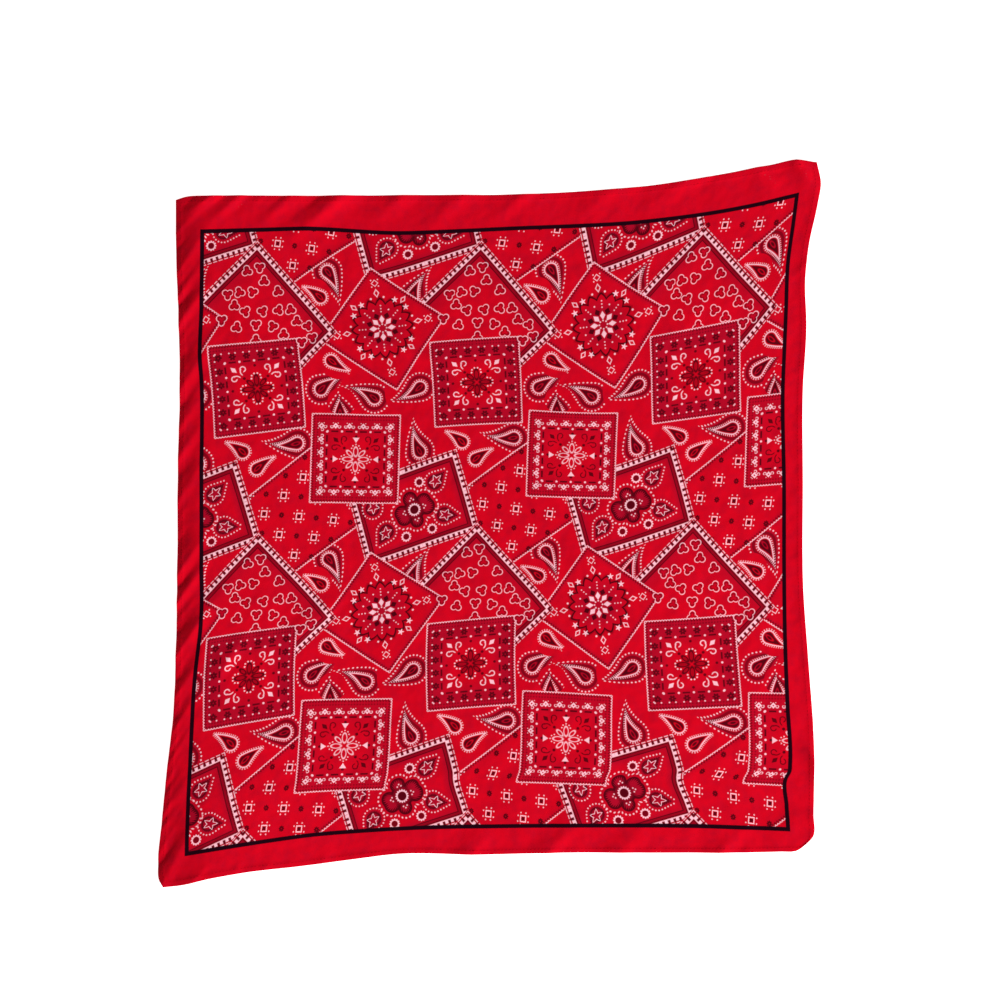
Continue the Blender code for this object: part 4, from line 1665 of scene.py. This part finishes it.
@dataclass
class HemStrip:
    """Two turned layers under one edge of the face."""

    edge: Edge
    outer: float = 0.8
    inner: float = 4.9
    end_gap: float = 0.3  # from the end of an upright one to the one across it
    under: float = 0.02
    over: float = 0.31
    rings: int = 220
    # How a side rounds over: millimetres in from it, and share of the height.
    rounding: tuple[tuple[float, float], ...] = ((0.0, 0.5), (0.12, 0.9), (0.35, 1.0))

    def section(self) -> np.ndarray:
        """Go round the strip's section.

        Returns:
            For each point, the millimetres from the edge and the share of the height.
        """
        upper = [(self.outer + step, height) for step, height in self.rounding]
        upper += [(self.inner - step, height) for step, height in reversed(self.rounding)]
        return np.array(upper + [(place, 1 - height) for place, height in reversed(upper[1:-1])])

    def build(self) -> bpy.types.Object:
        """Build the flat strip with rounded long sides.

        Returns:
            The strip.
        """
        inward, share = self.section().T
        margin = (self.inner + self.end_gap if self.edge.upright else self.outer) / self.edge.length
        along, inward = np.meshgrid(np.linspace(margin, 1 - margin, self.rings), inward, indexing="ij")
        plan = self.edge.plan(along, inward)
        points = with_height(plan, LIE.lift(plan) + self.under + (self.over - self.under) * share)
        faces = tube_faces(1, *inward.shape)
        if self.edge.upright != self.edge.far:
            faces = [face[::-1] for face in faces]
        return make_object(f"turned_hem_{self.edge.value}", points, faces)


@dataclass
class TurnedCorner:
    """The tip of the lower right corner, folded under: its reverse side faces down."""

    fold: tuple[Point, Point] = (Point(260.6, -254.9), Point(250.6, -263.6))
    tip: Point = Point(250.9, -254.6)
    blunt: float = 0.9  # share of the way from the fold to the tip that it reaches
    under: float = 0.05
    ply: float = 0.5
    cells: int = 8

    def build(self) -> bpy.types.Object:
        """Build the small triangle as a grid that narrows to its blunt tip.

        Returns:
            The tip.
        """
        u, v = np.meshgrid(np.linspace(0, 1, self.cells), np.linspace(0, self.blunt, self.cells))
        start, end, tip = (np.array(point) for point in (*self.fold, self.tip))
        line = start + (end - start) * u[..., None]
        plan = line * (1 - v[..., None]) + tip * v[..., None]
        # Its layers part over the first eighth from each side.
        side = np.minimum(np.minimum(u, 1 - u) * 8 * (1 - v), np.minimum(v, self.blunt - v) * 8 + 0.35)
        crown = np.sqrt(np.clip(side, 0, 1))
        upper = with_height(plan, self.under + self.ply * (0.5 + 0.5 * crown))
        lower = with_height(plan, self.under + self.ply * (0.5 - 0.5 * crown) * 0.9)
        return shell_object("corner_tip", upper, lower)


@dataclass
class HemStitching:
    """Lockstitches along one hem: short raised threads end to end, on the face."""

    edge: Edge
    pitch: float = 2.9
    length: float = 2.3
    thread: float = 0.34
    corners: int = 6
    # Along a stitch: share of its length, share of its thickness, and height of its middle.
    rings: tuple[tuple[float, float, float], ...] = (
        (0.0, 0.25, -0.12), (0.08, 0.75, -0.02), (0.3, 1.0, 0.05),
        (0.7, 1.0, 0.05), (0.92, 0.75, -0.02), (1.0, 0.25, -0.12),
    )

    def build(self) -> bpy.types.Object:
        """Build every stitch of the edge as one joined mesh.

        Returns:
            The stitches.
        """
        reach, girth, height = np.array(self.rings).T
        inset = SEWN.stitch_line / self.edge.length
        count = int((self.edge.length - 2 * SEWN.stitch_line) / self.pitch)
        starts = inset + (1 - 2 * inset) * np.arange(count) / count
        along = starts[:, None] + reach * self.length / self.edge.length
        line = np.full_like(along, SEWN.stitch_line)
        plan = self.edge.plan(along, line)
        centre = with_height(plan, LIE.lift(plan) + SEWN.face_height(line) + height)
        heading = centre[:, -1] - centre[:, 0]
        heading /= np.linalg.norm(heading, axis=1)[:, None]
        across = np.stack((-heading[:, 1], heading[:, 0], np.zeros(count)), axis=1)
        up = np.cross(heading, across)
        turn = np.arange(self.corners)[:, None] * 2 * math.pi / self.corners
        ring = np.cos(turn) * across[:, None, None] + np.sin(turn) * up[:, None, None]
        points = centre[:, :, None] + ring * (girth * self.thread / 2)[:, None, None]
        faces = tube_faces(count, len(self.rings), self.corners)
        return make_object(f"stitching_{self.edge.value}", points, faces, sharp=180)


# --------------------------------------------------------------------------
# Table, light and camera
# --------------------------------------------------------------------------
@dataclass
class Studio:
    """A light table, one soft lamp to its lower right and a camera straight above."""

    table_side: float = 6000.0
    table_top: float = -0.2
    air: float = 0.28  # strength of the white light from all round
    lamp_place: tuple[float, float, float] = (3700.0, -2550.0, 2900.0)
    lamp_side: float = 1100.0
    lamp_power: float = 420.0  # in watts
    picture_width: float = 812.5  # of the table, from side to side of the picture
    aim: Point = Point(8.53, 19.1)
    camera_height: float = 2600.0
    sensor: float = 36.0

    def build(self) -> None:
        """Make the table, the light and the camera."""
        bpy.context.scene.view_settings.view_transform = "Standard"
        self.add_table()
        self.add_air()
        self.add_lamp()
        self.add_camera()

    def add_table(self) -> None:
        """Put the lit table top just under the cloth."""
        bpy.ops.mesh.primitive_plane_add(size=self.table_side * MM)
        table = bpy.context.object
        table.name = "floor"
        table.data.materials.append(OpalAcrylic().make())
        table.location.z = self.table_top * MM

    def add_air(self) -> None:
        """Let white light come from all round."""
        world = bpy.data.worlds.new("studio_air")
        bpy.context.scene.world = world
        world.use_nodes = True
        background = world.node_tree.nodes["Background"]
        background.inputs["Color"].default_value = (1, 1, 1, 1)
        background.inputs["Strength"].default_value = self.air

    def add_lamp(self) -> None:
        """Hang a square soft lamp that faces the cloth."""
        light = bpy.data.lights.new("key", "AREA")
        light.size = self.lamp_side * MM
        light.energy = self.lamp_power
        lamp = bpy.data.objects.new("key", light)
        lamp.location = Vector(self.lamp_place) * MM
        lamp.rotation_euler = (-lamp.location).to_track_quat("-Z", "Y").to_euler()
        bpy.context.scene.collection.objects.link(lamp)

    def add_camera(self) -> None:
        """Put the camera straight above, framed as a square picture."""
        camera = bpy.data.cameras.new("camera")
        camera.sensor_width = self.sensor
        camera.lens = self.sensor * self.camera_height / self.picture_width
        viewer = bpy.data.objects.new("camera", camera)
        viewer.location = Vector((self.aim.x, self.aim.y, self.camera_height)) * MM
        bpy.context.scene.collection.objects.link(viewer)
        bpy.context.scene.camera = viewer


def main() -> None:
    """Build the bandana and its studio."""
    logging.basicConfig(level=logging.INFO, format="%(name)s: %(message)s")
    printed = BandanaPrint("printed_cotton").make()
    hemmed, reverse, thread = HEM_COTTON.make(), REVERSE_COTTON.make(), SEWING_THREAD.make()

    panel = PrintedPanel().build()
    dress(panel, printed, "printed_cotton", "panel")
    sewn = []
    for edge in Edge:
        strip = HemStrip(edge).build()
        dress(strip, hemmed, "hem_cotton", f"hem_{edge.value}")
        stitches = HemStitching(edge).build()
        dress(stitches, thread, "sewing_thread")
        sewn += [strip, stitches]
    tip = TurnedCorner().build()
    dress(tip, reverse, "reverse_cotton", "corner_turned_under")
    Studio().build()

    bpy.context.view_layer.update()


if __name__ == "__main__":
    main()
